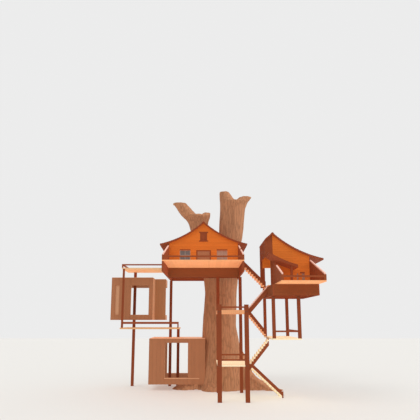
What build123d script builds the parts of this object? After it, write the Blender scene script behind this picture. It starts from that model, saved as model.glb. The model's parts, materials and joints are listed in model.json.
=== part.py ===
from build123d import *
from math import cos, pi, sin
import os

# A tree house: a gabled cabin built round a forked trunk, a half cabin beside it,
# a zigzag stair between them, a side walkway and two carved rooms on tall posts.
# Millimetres. X to the right, Y to the back, Z up. The origin is on the ground,
# on the trunk's axis. The front of the house faces -Y.

# Tree: each level section is height, centre x, centre y and half width
TREE_SIDES = 24
TREE_DEPTH = 0.95
TREE_GAP = 20
FORK_Z = 15800
TRUNK = [
    (0, 150, 0, 2900),
    (2900, 200, 0, 2450),
    (5000, 180, 0, 2150),
    (7000, 50, 0, 1950),
    (10800, 250, 0, 1870),
    (12300, 270, 0, 2030),
    (13500, 100, 0, 2050),
    (FORK_Z, -385, 0, 2310),
]
ROOTS = [
    [(0, 3750, -500, 1400), (1000, 2950, -450, 1200), (2900, 2250, -300, 1150), (5200, 1500, -100, 700)],
    [(0, -3900, -300, 1500), (900, -2700, -200, 1250), (2600, -1800, -100, 1000), (5000, -1250, 0, 700)],
    [(0, 6050, -1300, 1150), (350, 5100, -1200, 900), (1200, 3600, -900, 800), (2600, 2300, -600, 700)],
    [(0, -700, -1900, 1300), (800, -550, -1500, 1100), (2600, -300, -900, 900)],
    [(0, 1700, 2300, 1400), (900, 1400, 1800, 1200), (3000, 900, 1000, 900)],
    [(0, -1600, 2200, 1400), (900, -1300, 1700, 1200), (3000, -800, 900, 900)],
]
BOUGH = [
    (FORK_Z, -1650, 0, 1000),
    (18300, -2330, 0, 1040),
    (19350, -2480, 0, 1190),
    (20100, -2730, 0, 1700),
]
BOUGH_LEFT_STUB = [(20100, -3490, 0, 940), (21750, -4810, 0, 830)]
BOUGH_RIGHT_STUB = [(20100, -1740, 0, 690), (20550, -1400, 0, 420)]
LIMB = [
    (FORK_Z, 720, 0, 1180),
    (16900, 1400, 0, 1430),
    (18300, 1560, 0, 1470),
    (20900, 1750, 0, 1510),
    (21900, 1930, 0, 1700),
]
LIMB_LEFT_STUB = [(21900, 1190, 0, 960), (23200, 740, 0, 600)]
LIMB_RIGHT_STUB = [(21900, 2790, 0, 840), (22550, 3370, 0, 740)]

# Floor levels and boards
MAIN_DECK_Z = 13430
HALF_DECK_Z = 10900
BOARD = 120
BASE_DROP = 1030
BEAM = 160
MAIN_FLOOR_Z = MAIN_DECK_Z + BOARD
HALF_FLOOR_Z = HALF_DECK_Z + BOARD

# Main cabin
DECK_RIGHT_X = 2340
DECK_WIDTH = 8260
PORCH_FRONT_Y = -10400
FRONT_WALL_Y = -3600
BACK_Y = 2400
WALL = 150
WALL_INSET = 210
ROOF_THICK = 150
RIDGE_RISE = 5290
SLOPE_MID_RUN = 2540
SLOPE_MID_RISE = 3560
EAVE_RUN = 4970
EAVE_RISE = 2710
VERGE = 300
DECK_LEFT_X = DECK_RIGHT_X - DECK_WIDTH
CABIN_X = DECK_RIGHT_X - DECK_WIDTH / 2
WALL_LEFT_X = DECK_LEFT_X + WALL_INSET
WALL_RIGHT_X = DECK_RIGHT_X - WALL_INSET
BASE_Z = MAIN_DECK_Z - BASE_DROP

# Openings of the main cabin
DOOR_WIDTH = 1660
DOOR_HEIGHT = 1890
DOOR_FRAME = 130
DOOR_THICK = 60
DOOR_GAP = 8
HINGE_R = 16
HINGE_PIN_R = 8
HINGE_HIGH = 90
HINGE_PLATE = 4
HINGE_REACH = 70
HINGE_FIT = 0.3
WINDOW_RUN = 2110
WINDOW_WIDTH = 1200
WINDOW_SILL = 780
WINDOW_HEIGHT = 1080
TRIM = 120
TRIM_PROUD = 60
GLASS = 24
ATTIC_WIDTH = 800
ATTIC_SILL = 3000
ATTIC_HEIGHT = 900
SHUTTER = 60

# Porch parts, shared by both cabins
WING = WALL_INSET
WING_BACK_RISE = 2350
WING_FRONT_RISE = 520
WING_CAP = 110
WING_CAP_WIDE = 130
STAIR_GAP = 60
RAIL = 150
RAIL_RISE = 280

# Half cabin
HALF_RIDGE_X = 5130
HALF_LEFT_X = 4640
HALF_RIGHT_X = 8950
HALF_PORCH_LEFT_X = 5040
HALF_PORCH_Y = -16800
HALF_BASE_Y = -13800
HALF_WALL_Y = -10800
HALF_BACK_Y = -5600
BAY_RUN = 730
BAY_PANEL = 100
BAY_PANEL_Z = 13860
BAY_POST = 240
BAY_DOOR_LEFT_X = 4900
BAY_DOOR_RIGHT_X = 5700
BAY_DOOR_Z = 13190
HALF_WINDOW_LEFT_X = 7460
HALF_WINDOW_RIGHT_X = 8240
HALF_WINDOW_SILL = 330
HALF_WINDOW_HEIGHT = 800
AWNING_Y = -13400
AWNING_RIDGE_Z = 13950
AWNING_EAVE_X = 7150
AWNING_EAVE_Z = 12720
AWNING_HOLLOW = 120
AWNING_THICK = 250
AWNING_GAP = 5
AWNING_POST = 200
AWNING_POST_X = 6550

# Stair tower
STEP_THICK = 120
STRING = 70
STRING_DEEP = 420
STRING_LAP = 20
NEWEL = 150
STAIR_WIDTH = 1300
NEAR_LANE_Y = -9300
FAR_LANE_Y = -6560
TOWER_LEFT_X = -180
TOWER_RIGHT_X = 2330
TOWER_FRONT_Y = -10000
TOWER_BACK_Y = -3520
TOWER_POST = 420
TOWER_POST_TOP = 9150
BACK_POST = 340
UPPER_LANDING = 340
LOWER_LANDING = 110
PLATFORM = 120
UPPER_LANDING_Z = 8620
LOWER_LANDING_Z = 3400
LANDING_SIDE = 2700
HANGING_Z = 6000
HANGING_RIGHT_X = 7300
HANGING_FRONT_Y = -13050
HANGER = 300
LANDING_RAILS = [(UPPER_LANDING_Z, 280), (LOWER_LANDING_Z, 480), (LOWER_LANDING_Z, 980)]
HANGING_RAIL = 560
FOOT_X = 6150

# Left side
LEFT_DECK_X = -11230
LEFT_FRONT_Y = -2500
LOWER_TOP_Z = 6800
LOWER_THICK = 150
LOWER_RIGHT_X = -4600
LOWER_RAIL = 420
LOWER_RAIL_DEEP = 240
POST_ROW_Y = 2200
POST = 320
CORNER_POST = 220
CORNER_POST_X = LEFT_DECK_X + 230
OUTER_POST_X = LEFT_DECK_X + 930
INNER_POST_X = DECK_LEFT_X + 80
SHORT_POST_X = LOWER_RIGHT_X - 290

# Steel pegs that carry the base beams on the trunk
PEG = 140
PEG_DEPTH = 400
TRUNK_FRONT = 1950
PEG_XS = [-900, 900]
PEG_Z = 12900

# Carved rooms
ROOM_WALL = 300
ROOM_SLAB = 200
UPPER_ROOM_X0 = -12500
UPPER_ROOM_X1 = -6410
UPPER_ROOM_STEP_X = -7700
UPPER_ROOM_Y0 = -1500
UPPER_ROOM_STEP_Y = 1000
UPPER_ROOM_Y1 = 3400
UPPER_ROOM_Z0 = 7660
UPPER_ROOM_Z1 = 12500
UPPER_SILL_Z = 8240
UPPER_HEAD_Z = 11600
UPPER_WINDOW_X0 = -10250
UPPER_WINDOW_X1 = -8150
UPPER_BACK_WINDOW_X0 = -11150
UPPER_BACK_WINDOW_X1 = -8600
SLIT_X0 = -12050
SLIT_X1 = -11600
SLIT_DEEP = 120
GROUND_ROOM_X0 = -7930
GROUND_ROOM_X1 = -1600
GROUND_ROOM_Y0 = -1900
GROUND_ROOM_Y1 = 3600
GROUND_ROOM_Z0 = 650
GROUND_ROOM_Z1 = 5600
GROUND_SILL_Z = 1330
GROUND_HEAD_Z = 5130
GROUND_WINDOW_X0 = -6150
GROUND_WINDOW_X1 = -3550
GROUND_BACK_WINDOW_X0 = -6300
GROUND_BACK_WINDOW_X1 = -3700

os.makedirs("parts", exist_ok=True)


def bar(x0, x1, y0, y1, z0, z1, mode=Mode.ADD):
    """A squared block between two opposite corners."""
    with BuildSketch(Plane.XY.offset(z0)) as outline:
        with Locations(((x0 + x1) / 2, (y0 + y1) / 2)):
            Rectangle(x1 - x0, y1 - y0)
    extrude(outline.sketch, amount=z1 - z0, mode=mode)


def post(x, y, size, z0, z1, mode=Mode.ADD):
    """A square post standing at x, y."""
    bar(x - size / 2, x + size / 2, y - size / 2, y + size / 2, z0, z1, mode)


def across(points, y0, y1, mode=Mode.ADD):
    """A plate whose outline is drawn in X and Z, from y0 back to y1."""
    with BuildSketch(Plane.XZ.offset(-y1)) as outline:
        with BuildLine():
            Polyline(*points, close=True)
        make_face()
    extrude(outline.sketch, amount=y1 - y0, mode=mode)


def along(points, x0, x1, mode=Mode.ADD):
    """A plate whose outline is drawn in Y and Z, from x0 to x1."""
    with BuildSketch(Plane.YZ.offset(x0)) as outline:
        with BuildLine():
            Polyline(*points, close=True)
        make_face()
    extrude(outline.sketch, amount=x1 - x0, mode=mode)


def ring(z, x, y, half, gap=0):
    """Corners of a level, many-sided cross section of the tree. All sections are alike in shape."""
    turns = [2 * pi * (i + 0.5) / TREE_SIDES for i in range(TREE_SIDES)]
    reach = half + gap
    return [(x + reach * cos(turn), y + TREE_DEPTH * reach * sin(turn), z) for turn in turns]


def limb(sections, gap=0, mode=Mode.ADD):
    """A tapering length of the tree, with flat facets between level cross sections."""
    rings = [ring(*section, gap) for section in sections]
    faces = [Face(Wire.make_polygon(rings[0])), Face(Wire.make_polygon(rings[-1]))]
    for low, high in zip(rings, rings[1:]):
        for i in range(TREE_SIDES):
            faces.append(Face(Wire.make_polygon([low[i - 1], low[i], high[i], high[i - 1]])))
    add(Solid(Shell(faces)), mode=mode)


def clear_tree(gap=TREE_GAP):
    """Cut away the space round the fork, so that timber is scribed to it."""
    for sections in (TRUNK, BOUGH, LIMB):
        limb(sections, gap, Mode.SUBTRACT)


def clear_foot(gap=TREE_GAP):
    """Cut away the space round the trunk's foot and its roots."""
    for sections in (TRUNK, *ROOTS):
        limb(sections, gap, Mode.SUBTRACT)


def slope_curve(ridge_x, deck_z, side, drop=0):
    """The hollow line of one roof slope, from the ridge out to the eave."""
    start = (ridge_x, deck_z + RIDGE_RISE - drop)
    middle = (ridge_x + side * SLOPE_MID_RUN, deck_z + SLOPE_MID_RISE - drop)
    end = (ridge_x + side * EAVE_RUN, deck_z + EAVE_RISE - drop)
    return ThreePointArc(start, middle, end)


def roof_slope(ridge_x, deck_z, side, y0, y1):
    """One hollow-curved roof slope of even vertical thickness."""
    with BuildSketch(Plane.XZ.offset(-y1)) as outline:
        with BuildLine():
            top = slope_curve(ridge_x, deck_z, side)
            under = slope_curve(ridge_x, deck_z, side, ROOF_THICK)
            Line(top @ 0, under @ 0)
            Line(top @ 1, under @ 1)
        make_face()
    extrude(outline.sketch, amount=y1 - y0)


def under_roof(ridge_x, deck_z, x0, x1, y0, y1):
    """A wall from the floor up to the underside of the roof, between x0 and x1."""
    with BuildSketch(Plane.XZ.offset(-y1)) as outline:
        with BuildLine():
            left = slope_curve(ridge_x, deck_z, -1, ROOF_THICK)
            right = slope_curve(ridge_x, deck_z, 1, ROOF_THICK)
            Line(left @ 1, (ridge_x - EAVE_RUN, deck_z + BOARD))
            Line((ridge_x - EAVE_RUN, deck_z + BOARD), (ridge_x + EAVE_RUN, deck_z + BOARD))
            Line((ridge_x + EAVE_RUN, deck_z + BOARD), right @ 1)
        make_face()
        with Locations(((x0 + x1) / 2, deck_z + RIDGE_RISE / 2)):
            Rectangle(x1 - x0, 2 * RIDGE_RISE, mode=Mode.INTERSECT)
    extrude(outline.sketch, amount=y1 - y0)


# The tree
with BuildPart() as trunk:
    limb(TRUNK)
    for root in ROOTS:
        limb(root)
    for x in PEG_XS:
        bar(x - PEG / 2, x + PEG / 2, -TRUNK_FRONT - PEG_DEPTH, -TRUNK_FRONT + PEG_DEPTH,
            PEG_Z, PEG_Z + PEG, Mode.SUBTRACT)
trunk.part.label = "trunk"
export_step(trunk.part, "parts/trunk.step")

with BuildPart() as left_bough:
    limb(BOUGH)
    limb(BOUGH_LEFT_STUB)
    limb(BOUGH_RIGHT_STUB)
left_bough.part.label = "left_bough"
export_step(left_bough.part, "parts/left_bough.step")

with BuildPart() as right_limb:
    limb(LIMB)
    limb(LIMB_LEFT_STUB)
    limb(LIMB_RIGHT_STUB)
right_limb.part.label = "right_limb"
export_step(right_limb.part, "parts/right_limb.step")

# Main cabin: base, decks and floor
CROSS_BEAM_YS = [
    FRONT_WALL_Y,
    -TRUNK_FRONT - TREE_GAP - 2 * BEAM,
    BACK_Y - BEAM,
]
with BuildPart() as main_side_beams:
    bar(DECK_LEFT_X, DECK_LEFT_X + BEAM, PORCH_FRONT_Y, BACK_Y, BASE_Z, MAIN_DECK_Z)
    bar(DECK_RIGHT_X - BEAM, DECK_RIGHT_X, PORCH_FRONT_Y, BACK_Y, BASE_Z, MAIN_DECK_Z)
    limb(TRUNK, TREE_GAP, Mode.SUBTRACT)
main_side_beams.part.label = "main_side_beams"
export_step(main_side_beams.part, "parts/main_side_beams.step")

with BuildPart() as main_cross_beams:
    for y in CROSS_BEAM_YS:
        bar(DECK_LEFT_X + BEAM, DECK_RIGHT_X - BEAM, y, y + BEAM, BASE_Z, MAIN_DECK_Z)
main_cross_beams.part.label = "main_cross_beams"
export_step(main_cross_beams.part, "parts/main_cross_beams.step")

with BuildPart() as tree_pegs:
    for x in PEG_XS:
        bar(x - PEG / 2, x + PEG / 2, CROSS_BEAM_YS[1] + BEAM, -TRUNK_FRONT + PEG_DEPTH,
            PEG_Z, PEG_Z + PEG)
tree_pegs.part.label = "tree_pegs"
export_step(tree_pegs.part, "parts/tree_pegs.step")

with BuildPart() as main_porch_deck:
    bar(DECK_LEFT_X, DECK_RIGHT_X, PORCH_FRONT_Y, FRONT_WALL_Y, MAIN_DECK_Z, MAIN_FLOOR_Z)
main_porch_deck.part.label = "main_porch_deck"
export_step(main_porch_deck.part, "parts/main_porch_deck.step")

with BuildPart() as main_floor:
    bar(DECK_LEFT_X, DECK_RIGHT_X, FRONT_WALL_Y, BACK_Y, MAIN_DECK_Z, MAIN_FLOOR_Z)
    limb(TRUNK, TREE_GAP, Mode.SUBTRACT)
main_floor.part.label = "main_floor"
export_step(main_floor.part, "parts/main_floor.step")

# Main cabin: walls
DOOR_LEFT_X = CABIN_X - DOOR_WIDTH / 2
DOOR_RIGHT_X = CABIN_X + DOOR_WIDTH / 2
DOOR_TOP_Z = MAIN_FLOOR_Z + DOOR_HEIGHT
SILL_Z = MAIN_FLOOR_Z + WINDOW_SILL
HEAD_Z = SILL_Z + WINDOW_HEIGHT
WINDOW_XS = [CABIN_X - WINDOW_RUN, CABIN_X + WINDOW_RUN]
FRONT_IN_Y = FRONT_WALL_Y + WALL
BACK_IN_Y = BACK_Y - WALL


def window_hole(x, y0, y1):
    """Cut a window of the main cabin centred at x."""
    bar(x - WINDOW_WIDTH / 2, x + WINDOW_WIDTH / 2, y0, y1, SILL_Z, HEAD_Z, Mode.SUBTRACT)


with BuildPart() as main_front_wall_left:
    bar(WALL_LEFT_X, DOOR_LEFT_X, FRONT_WALL_Y, FRONT_IN_Y, MAIN_FLOOR_Z, DOOR_TOP_Z)
    window_hole(WINDOW_XS[0], FRONT_WALL_Y, FRONT_IN_Y)
main_front_wall_left.part.label = "main_front_wall_left"
export_step(main_front_wall_left.part, "parts/main_front_wall_left.step")

with BuildPart() as main_front_wall_right:
    bar(DOOR_RIGHT_X, WALL_RIGHT_X, FRONT_WALL_Y, FRONT_IN_Y, MAIN_FLOOR_Z, DOOR_TOP_Z)
    window_hole(WINDOW_XS[1], FRONT_WALL_Y, FRONT_IN_Y)
main_front_wall_right.part.label = "main_front_wall_right"
export_step(main_front_wall_right.part, "parts/main_front_wall_right.step")

ATTIC_Z = MAIN_DECK_Z + ATTIC_SILL + BOARD
with BuildPart() as main_front_gable:
    under_roof(CABIN_X, MAIN_DECK_Z, WALL_LEFT_X, WALL_RIGHT_X, FRONT_WALL_Y, FRONT_IN_Y)
    bar(WALL_LEFT_X, WALL_RIGHT_X, FRONT_WALL_Y, FRONT_IN_Y, MAIN_FLOOR_Z, DOOR_TOP_Z, Mode.SUBTRACT)
    bar(CABIN_X - ATTIC_WIDTH / 2, CABIN_X + ATTIC_WIDTH / 2, FRONT_WALL_Y, FRONT_IN_Y,
        ATTIC_Z, ATTIC_Z + ATTIC_HEIGHT, Mode.SUBTRACT)
main_front_gable.part.label = "main_front_gable"
export_step(main_front_gable.part, "parts/main_front_gable.step")

with BuildPart() as main_side_walls:
    under_roof(CABIN_X, MAIN_DECK_Z, WALL_LEFT_X, WALL_LEFT_X + WALL, FRONT_IN_Y, BACK_IN_Y)
    under_roof(CABIN_X, MAIN_DECK_Z, WALL_RIGHT_X - WALL, WALL_RIGHT_X, FRONT_IN_Y, BACK_IN_Y)
    clear_tree()
main_side_walls.part.label = "main_side_walls"
export_step(main_side_walls.part, "parts/main_side_walls.step")

with BuildPart() as main_back_wall:
    under_roof(CABIN_X, MAIN_DECK_Z, CABIN_X - EAVE_RUN + WALL, CABIN_X + EAVE_RUN - WALL,
               BACK_IN_Y, BACK_Y)
main_back_wall.part.label = "main_back_wall"
export_step(main_back_wall.part, "parts/main_back_wall.step")

for side, label in ((-1, "main_roof_left"), (1, "main_roof_right")):
    with BuildPart() as main_roof:
        roof_slope(CABIN_X, MAIN_DECK_Z, side, FRONT_WALL_Y - VERGE, BACK_Y + VERGE)
        clear_tree()
    main_roof.part.label = label
    export_step(main_roof.part, f"parts/{label}.step")

# Main cabin: door, windows and shutter
FRAME_IN_LEFT_X = DOOR_LEFT_X + DOOR_FRAME
FRAME_IN_RIGHT_X = DOOR_RIGHT_X - DOOR_FRAME
FRAME_IN_TOP_Z = DOOR_TOP_Z - DOOR_FRAME
DOOR_FACE_Y = FRONT_WALL_Y - TRIM_PROUD
HINGE_X = FRAME_IN_RIGHT_X - DOOR_GAP / 2
HINGE_Y = DOOR_FACE_Y - HINGE_R - HINGE_PLATE / 2
HINGE_ZS = [MAIN_FLOOR_Z + 250, FRAME_IN_TOP_Z - 250 - 3 * HINGE_HIGH]


def knuckle(radius, z0, z1, mode=Mode.ADD):
    """A length of the hinge's round barrel or pin."""
    with BuildSketch(Plane.XY.offset(z0)) as outline:
        with Locations((HINGE_X, HINGE_Y)):
            Circle(radius)
    extrude(outline.sketch, amount=z1 - z0, mode=mode)


with BuildPart() as main_door_frame:
    bar(DOOR_LEFT_X, DOOR_RIGHT_X, DOOR_FACE_Y, FRONT_IN_Y, MAIN_FLOOR_Z, DOOR_TOP_Z)
    bar(FRAME_IN_LEFT_X, FRAME_IN_RIGHT_X, DOOR_FACE_Y, FRONT_IN_Y, MAIN_FLOOR_Z, FRAME_IN_TOP_Z,
        Mode.SUBTRACT)
    for z in HINGE_ZS:
        for low in (z, z + 2 * HINGE_HIGH):
            knuckle(HINGE_R, low, low + HINGE_HIGH)
            bar(HINGE_X, FRAME_IN_RIGHT_X + HINGE_REACH, DOOR_FACE_Y - HINGE_PLATE, DOOR_FACE_Y,
                low, low + HINGE_HIGH)
        knuckle(HINGE_PIN_R, z, z + 3 * HINGE_HIGH)
main_door_frame.part.label = "main_door_frame"
export_step(main_door_frame.part, "parts/main_door_frame.step")

LEAF_X0 = FRAME_IN_LEFT_X + DOOR_GAP
LEAF_X1 = FRAME_IN_RIGHT_X - DOOR_GAP
with BuildPart() as main_door:
    bar(LEAF_X0, LEAF_X1, DOOR_FACE_Y, DOOR_FACE_Y + DOOR_THICK,
        MAIN_FLOOR_Z + DOOR_GAP, FRAME_IN_TOP_Z - DOOR_GAP)
    for z in HINGE_ZS:
        low = z + HINGE_HIGH + HINGE_FIT
        high = z + 2 * HINGE_HIGH - HINGE_FIT
        knuckle(HINGE_R, low, high)
        bar(LEAF_X1 - HINGE_REACH, HINGE_X, DOOR_FACE_Y - HINGE_PLATE, DOOR_FACE_Y, low, high)
        knuckle(HINGE_PIN_R + HINGE_FIT, low, high, Mode.SUBTRACT)
main_door.part.label = "main_door"
export_step(main_door.part, "parts/main_door.step")

with BuildPart() as main_window_trim:
    for x in WINDOW_XS:
        for z in (SILL_Z - TRIM, HEAD_Z):
            bar(x - WINDOW_WIDTH / 2, x + WINDOW_WIDTH / 2, FRONT_WALL_Y - TRIM_PROUD, FRONT_WALL_Y,
                z, z + TRIM)
    for z in (ATTIC_Z - TRIM, ATTIC_Z + ATTIC_HEIGHT):
        bar(CABIN_X - ATTIC_WIDTH / 2 - TRIM, CABIN_X + ATTIC_WIDTH / 2 + TRIM,
            FRONT_WALL_Y - TRIM_PROUD, FRONT_WALL_Y, z, z + TRIM)
main_window_trim.part.label = "main_window_trim"
export_step(main_window_trim.part, "parts/main_window_trim.step")

HALF_SILL_Z = HALF_FLOOR_Z + HALF_WINDOW_SILL
with BuildPart() as window_glass:
    main_glass_y = FRONT_WALL_Y + WALL / 2
    half_glass_y = HALF_WALL_Y + WALL / 2
    for x in WINDOW_XS:
        bar(x - WINDOW_WIDTH / 2, x + WINDOW_WIDTH / 2, main_glass_y, main_glass_y + GLASS, SILL_Z, HEAD_Z)
    bar(HALF_WINDOW_LEFT_X, HALF_WINDOW_RIGHT_X, half_glass_y, half_glass_y + GLASS,
        HALF_SILL_Z, HALF_SILL_Z + HALF_WINDOW_HEIGHT)
window_glass.part.label = "window_glass"
export_step(window_glass.part, "parts/window_glass.step")

with BuildPart() as main_attic_shutter:
    bar(CABIN_X - ATTIC_WIDTH / 2, CABIN_X + ATTIC_WIDTH / 2, FRONT_WALL_Y, FRONT_WALL_Y + SHUTTER,
        ATTIC_Z, ATTIC_Z + ATTIC_HEIGHT)
main_attic_shutter.part.label = "main_attic_shutter"
export_step(main_attic_shutter.part, "parts/main_attic_shutter.step")


BAY_LEFT_X = HALF_RIDGE_X - BAY_RUN


def wing_top(floor_z, front_y, depth, y):
    """The height of a porch side at y, on its even fall from the wall to the front."""
    return floor_z + WING_FRONT_RISE + (WING_BACK_RISE - WING_FRONT_RISE) * (y - front_y) / depth


def wing(x, floor_z, front_y, depth, y0, y1):
    """A stretch of a boarded porch side, from y0 back to y1."""
    along([(y0, floor_z), (y1, floor_z), (y1, wing_top(floor_z, front_y, depth, y1)),
           (y0, wing_top(floor_z, front_y, depth, y0))], x, x + WING)


def wing_cap(x, floor_z, front_y, depth, y0, y1):
    """The pale rail along the falling top of a porch side, from y0 back to y1."""
    low = wing_top(floor_z, front_y, depth, y0)
    high = wing_top(floor_z, front_y, depth, y1)
    edge = (WING - WING_CAP_WIDE) / 2
    along([(y0, low), (y1, high), (y1, high + WING_CAP), (y0, low + WING_CAP)], x + edge, x + WING - edge)


def awning_line(drop=0):
    """The hollow line of the entrance awning, from the screen out to its eave."""
    start = (BAY_LEFT_X, AWNING_RIDGE_Z - drop)
    end = (AWNING_EAVE_X, AWNING_EAVE_Z - drop)
    middle = ((start[0] + end[0]) / 2, (start[1] + end[1]) / 2 - AWNING_HOLLOW)
    return ThreePointArc(start, middle, end)


def clear_awning(gap=0):
    """Cut away what would stand above the awning's underside."""
    top_z = 2 * AWNING_RIDGE_Z
    with BuildSketch(Plane.XZ.offset(-HALF_WALL_Y)) as above:
        with BuildLine():
            under = awning_line(AWNING_THICK + gap)
            Polyline(under @ 0, (BAY_LEFT_X, top_z), (AWNING_EAVE_X, top_z), under @ 1)
        make_face()
    extrude(above.sketch, amount=HALF_WALL_Y - AWNING_Y, mode=Mode.SUBTRACT)


MAIN_PORCH = (MAIN_FLOOR_Z, PORCH_FRONT_Y, FRONT_WALL_Y - PORCH_FRONT_Y)
HALF_PORCH = (HALF_FLOOR_Z, HALF_PORCH_Y, HALF_WALL_Y - HALF_PORCH_Y)
STAIR_HEAD_Y0 = FAR_LANE_Y - STAIR_WIDTH / 2 - STAIR_GAP
STAIR_HEAD_Y1 = FAR_LANE_Y + STAIR_WIDTH / 2 + STAIR_GAP
MAIN_WING_RUNS = [
    (DECK_LEFT_X, *MAIN_PORCH, PORCH_FRONT_Y, FRONT_WALL_Y),
    (DECK_RIGHT_X - WING, *MAIN_PORCH, PORCH_FRONT_Y, STAIR_HEAD_Y0),
    (DECK_RIGHT_X - WING, *MAIN_PORCH, STAIR_HEAD_Y1, FRONT_WALL_Y),
]
HALF_WING_RUNS = [
    (HALF_PORCH_LEFT_X, *HALF_PORCH, HALF_PORCH_Y, HALF_WALL_Y),
    (HALF_RIGHT_X - WING, *HALF_PORCH, HALF_PORCH_Y, HALF_WALL_Y),
]
with BuildPart() as main_porch_wings:
    for run in MAIN_WING_RUNS:
        wing(*run)
main_porch_wings.part.label = "main_porch_wings"
export_step(main_porch_wings.part, "parts/main_porch_wings.step")

with BuildPart() as half_porch_wings:
    for run in HALF_WING_RUNS:
        wing(*run)
    clear_awning(AWNING_GAP)
half_porch_wings.part.label = "half_porch_wings"
export_step(half_porch_wings.part, "parts/half_porch_wings.step")

with BuildPart() as porch_wing_caps:
    for run in MAIN_WING_RUNS + HALF_WING_RUNS:
        wing_cap(*run)
    bar(HALF_PORCH_LEFT_X, HALF_PORCH_LEFT_X + WING, AWNING_Y, HALF_WALL_Y, HALF_FLOOR_Z, AWNING_RIDGE_Z,
        Mode.SUBTRACT)
porch_wing_caps.part.label = "porch_wing_caps"
export_step(porch_wing_caps.part, "parts/porch_wing_caps.step")

with BuildPart() as porch_rails:
    bar(DECK_LEFT_X + WING, DECK_RIGHT_X - WING, PORCH_FRONT_Y, PORCH_FRONT_Y + RAIL,
        MAIN_FLOOR_Z + RAIL_RISE, MAIN_FLOOR_Z + RAIL_RISE + RAIL)
    bar(HALF_PORCH_LEFT_X + WING, HALF_RIGHT_X - WING, HALF_PORCH_Y, HALF_PORCH_Y + RAIL,
        HALF_FLOOR_Z + RAIL_RISE, HALF_FLOOR_Z + RAIL_RISE + RAIL)
porch_rails.part.label = "porch_rails"
export_step(porch_rails.part, "parts/porch_rails.step")

# Half cabin: base, decks and floor
HALF_BASE_Z = HALF_DECK_Z - BASE_DROP
with BuildPart() as half_side_beams:
    for x in (HALF_LEFT_X, HALF_RIGHT_X - BEAM):
        bar(x, x + BEAM, HALF_BASE_Y, HALF_BACK_Y, HALF_BASE_Z, HALF_DECK_Z)
half_side_beams.part.label = "half_side_beams"
export_step(half_side_beams.part, "parts/half_side_beams.step")

with BuildPart() as half_cross_beams:
    for y in (HALF_BASE_Y, HALF_WALL_Y, HALF_BACK_Y - BEAM):
        bar(HALF_LEFT_X + BEAM, HALF_RIGHT_X - BEAM, y, y + BEAM, HALF_BASE_Z, HALF_DECK_Z)
half_cross_beams.part.label = "half_cross_beams"
export_step(half_cross_beams.part, "parts/half_cross_beams.step")

with BuildPart() as half_porch_deck:
    bar(HALF_PORCH_LEFT_X, HALF_RIGHT_X, HALF_PORCH_Y, HALF_WALL_Y, HALF_DECK_Z, HALF_FLOOR_Z)
half_porch_deck.part.label = "half_porch_deck"
export_step(half_porch_deck.part, "parts/half_porch_deck.step")

with BuildPart() as half_floor:
    bar(HALF_LEFT_X, HALF_RIGHT_X, HALF_WALL_Y, HALF_BACK_Y, HALF_DECK_Z, HALF_FLOOR_Z)
half_floor.part.label = "half_floor"
export_step(half_floor.part, "parts/half_floor.step")

# Half cabin: walls and roof
HALF_WALL_RIGHT_X = HALF_RIGHT_X - WALL_INSET
HALF_IN_Y = HALF_WALL_Y + WALL
with BuildPart() as half_front_wall:
    under_roof(HALF_RIDGE_X, HALF_DECK_Z, HALF_RIDGE_X, HALF_WALL_RIGHT_X, HALF_WALL_Y, HALF_IN_Y)
    bar(HALF_WINDOW_LEFT_X, HALF_WINDOW_RIGHT_X, HALF_WALL_Y, HALF_IN_Y,
        HALF_SILL_Z, HALF_SILL_Z + HALF_WINDOW_HEIGHT, Mode.SUBTRACT)
half_front_wall.part.label = "half_front_wall"
export_step(half_front_wall.part, "parts/half_front_wall.step")

with BuildPart() as half_side_wall:
    under_roof(HALF_RIDGE_X, HALF_DECK_Z, HALF_WALL_RIGHT_X - WALL, HALF_WALL_RIGHT_X,
               HALF_IN_Y, HALF_BACK_Y - WALL)
half_side_wall.part.label = "half_side_wall"
export_step(half_side_wall.part, "parts/half_side_wall.step")

with BuildPart() as half_back_wall:
    under_roof(HALF_RIDGE_X, HALF_DECK_Z, HALF_LEFT_X, HALF_WALL_RIGHT_X, HALF_BACK_Y - WALL, HALF_BACK_Y)
    bar(BAY_DOOR_LEFT_X, BAY_DOOR_RIGHT_X, HALF_BACK_Y - WALL, HALF_BACK_Y,
        HALF_FLOOR_Z, BAY_DOOR_Z, Mode.SUBTRACT)
half_back_wall.part.label = "half_back_wall"
export_step(half_back_wall.part, "parts/half_back_wall.step")

with BuildPart() as half_roof:
    roof_slope(HALF_RIDGE_X, HALF_DECK_Z, -1, HALF_WALL_Y - VERGE, HALF_BACK_Y + VERGE)
    bar(HALF_RIDGE_X - 2 * EAVE_RUN, BAY_LEFT_X, HALF_WALL_Y - VERGE, HALF_BACK_Y + VERGE,
        HALF_DECK_Z, HALF_DECK_Z + 2 * RIDGE_RISE, Mode.SUBTRACT)
    roof_slope(HALF_RIDGE_X, HALF_DECK_Z, 1, HALF_WALL_Y - VERGE, HALF_BACK_Y + VERGE)
half_roof.part.label = "half_roof"
export_step(half_roof.part, "parts/half_roof.step")

with BuildPart() as bay_screen:
    under_roof(HALF_RIDGE_X, HALF_DECK_Z, BAY_LEFT_X, BAY_LEFT_X + BAY_PANEL,
               HALF_WALL_Y, HALF_BACK_Y)
    under_roof(HALF_RIDGE_X, HALF_DECK_Z, BAY_LEFT_X, HALF_RIDGE_X, HALF_WALL_Y, HALF_IN_Y)
    bar(BAY_LEFT_X, HALF_RIDGE_X - BAY_POST, HALF_WALL_Y, HALF_BACK_Y, HALF_FLOOR_Z, BAY_PANEL_Z,
        Mode.SUBTRACT)
bay_screen.part.label = "bay_screen"
export_step(bay_screen.part, "parts/bay_screen.step")

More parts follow.
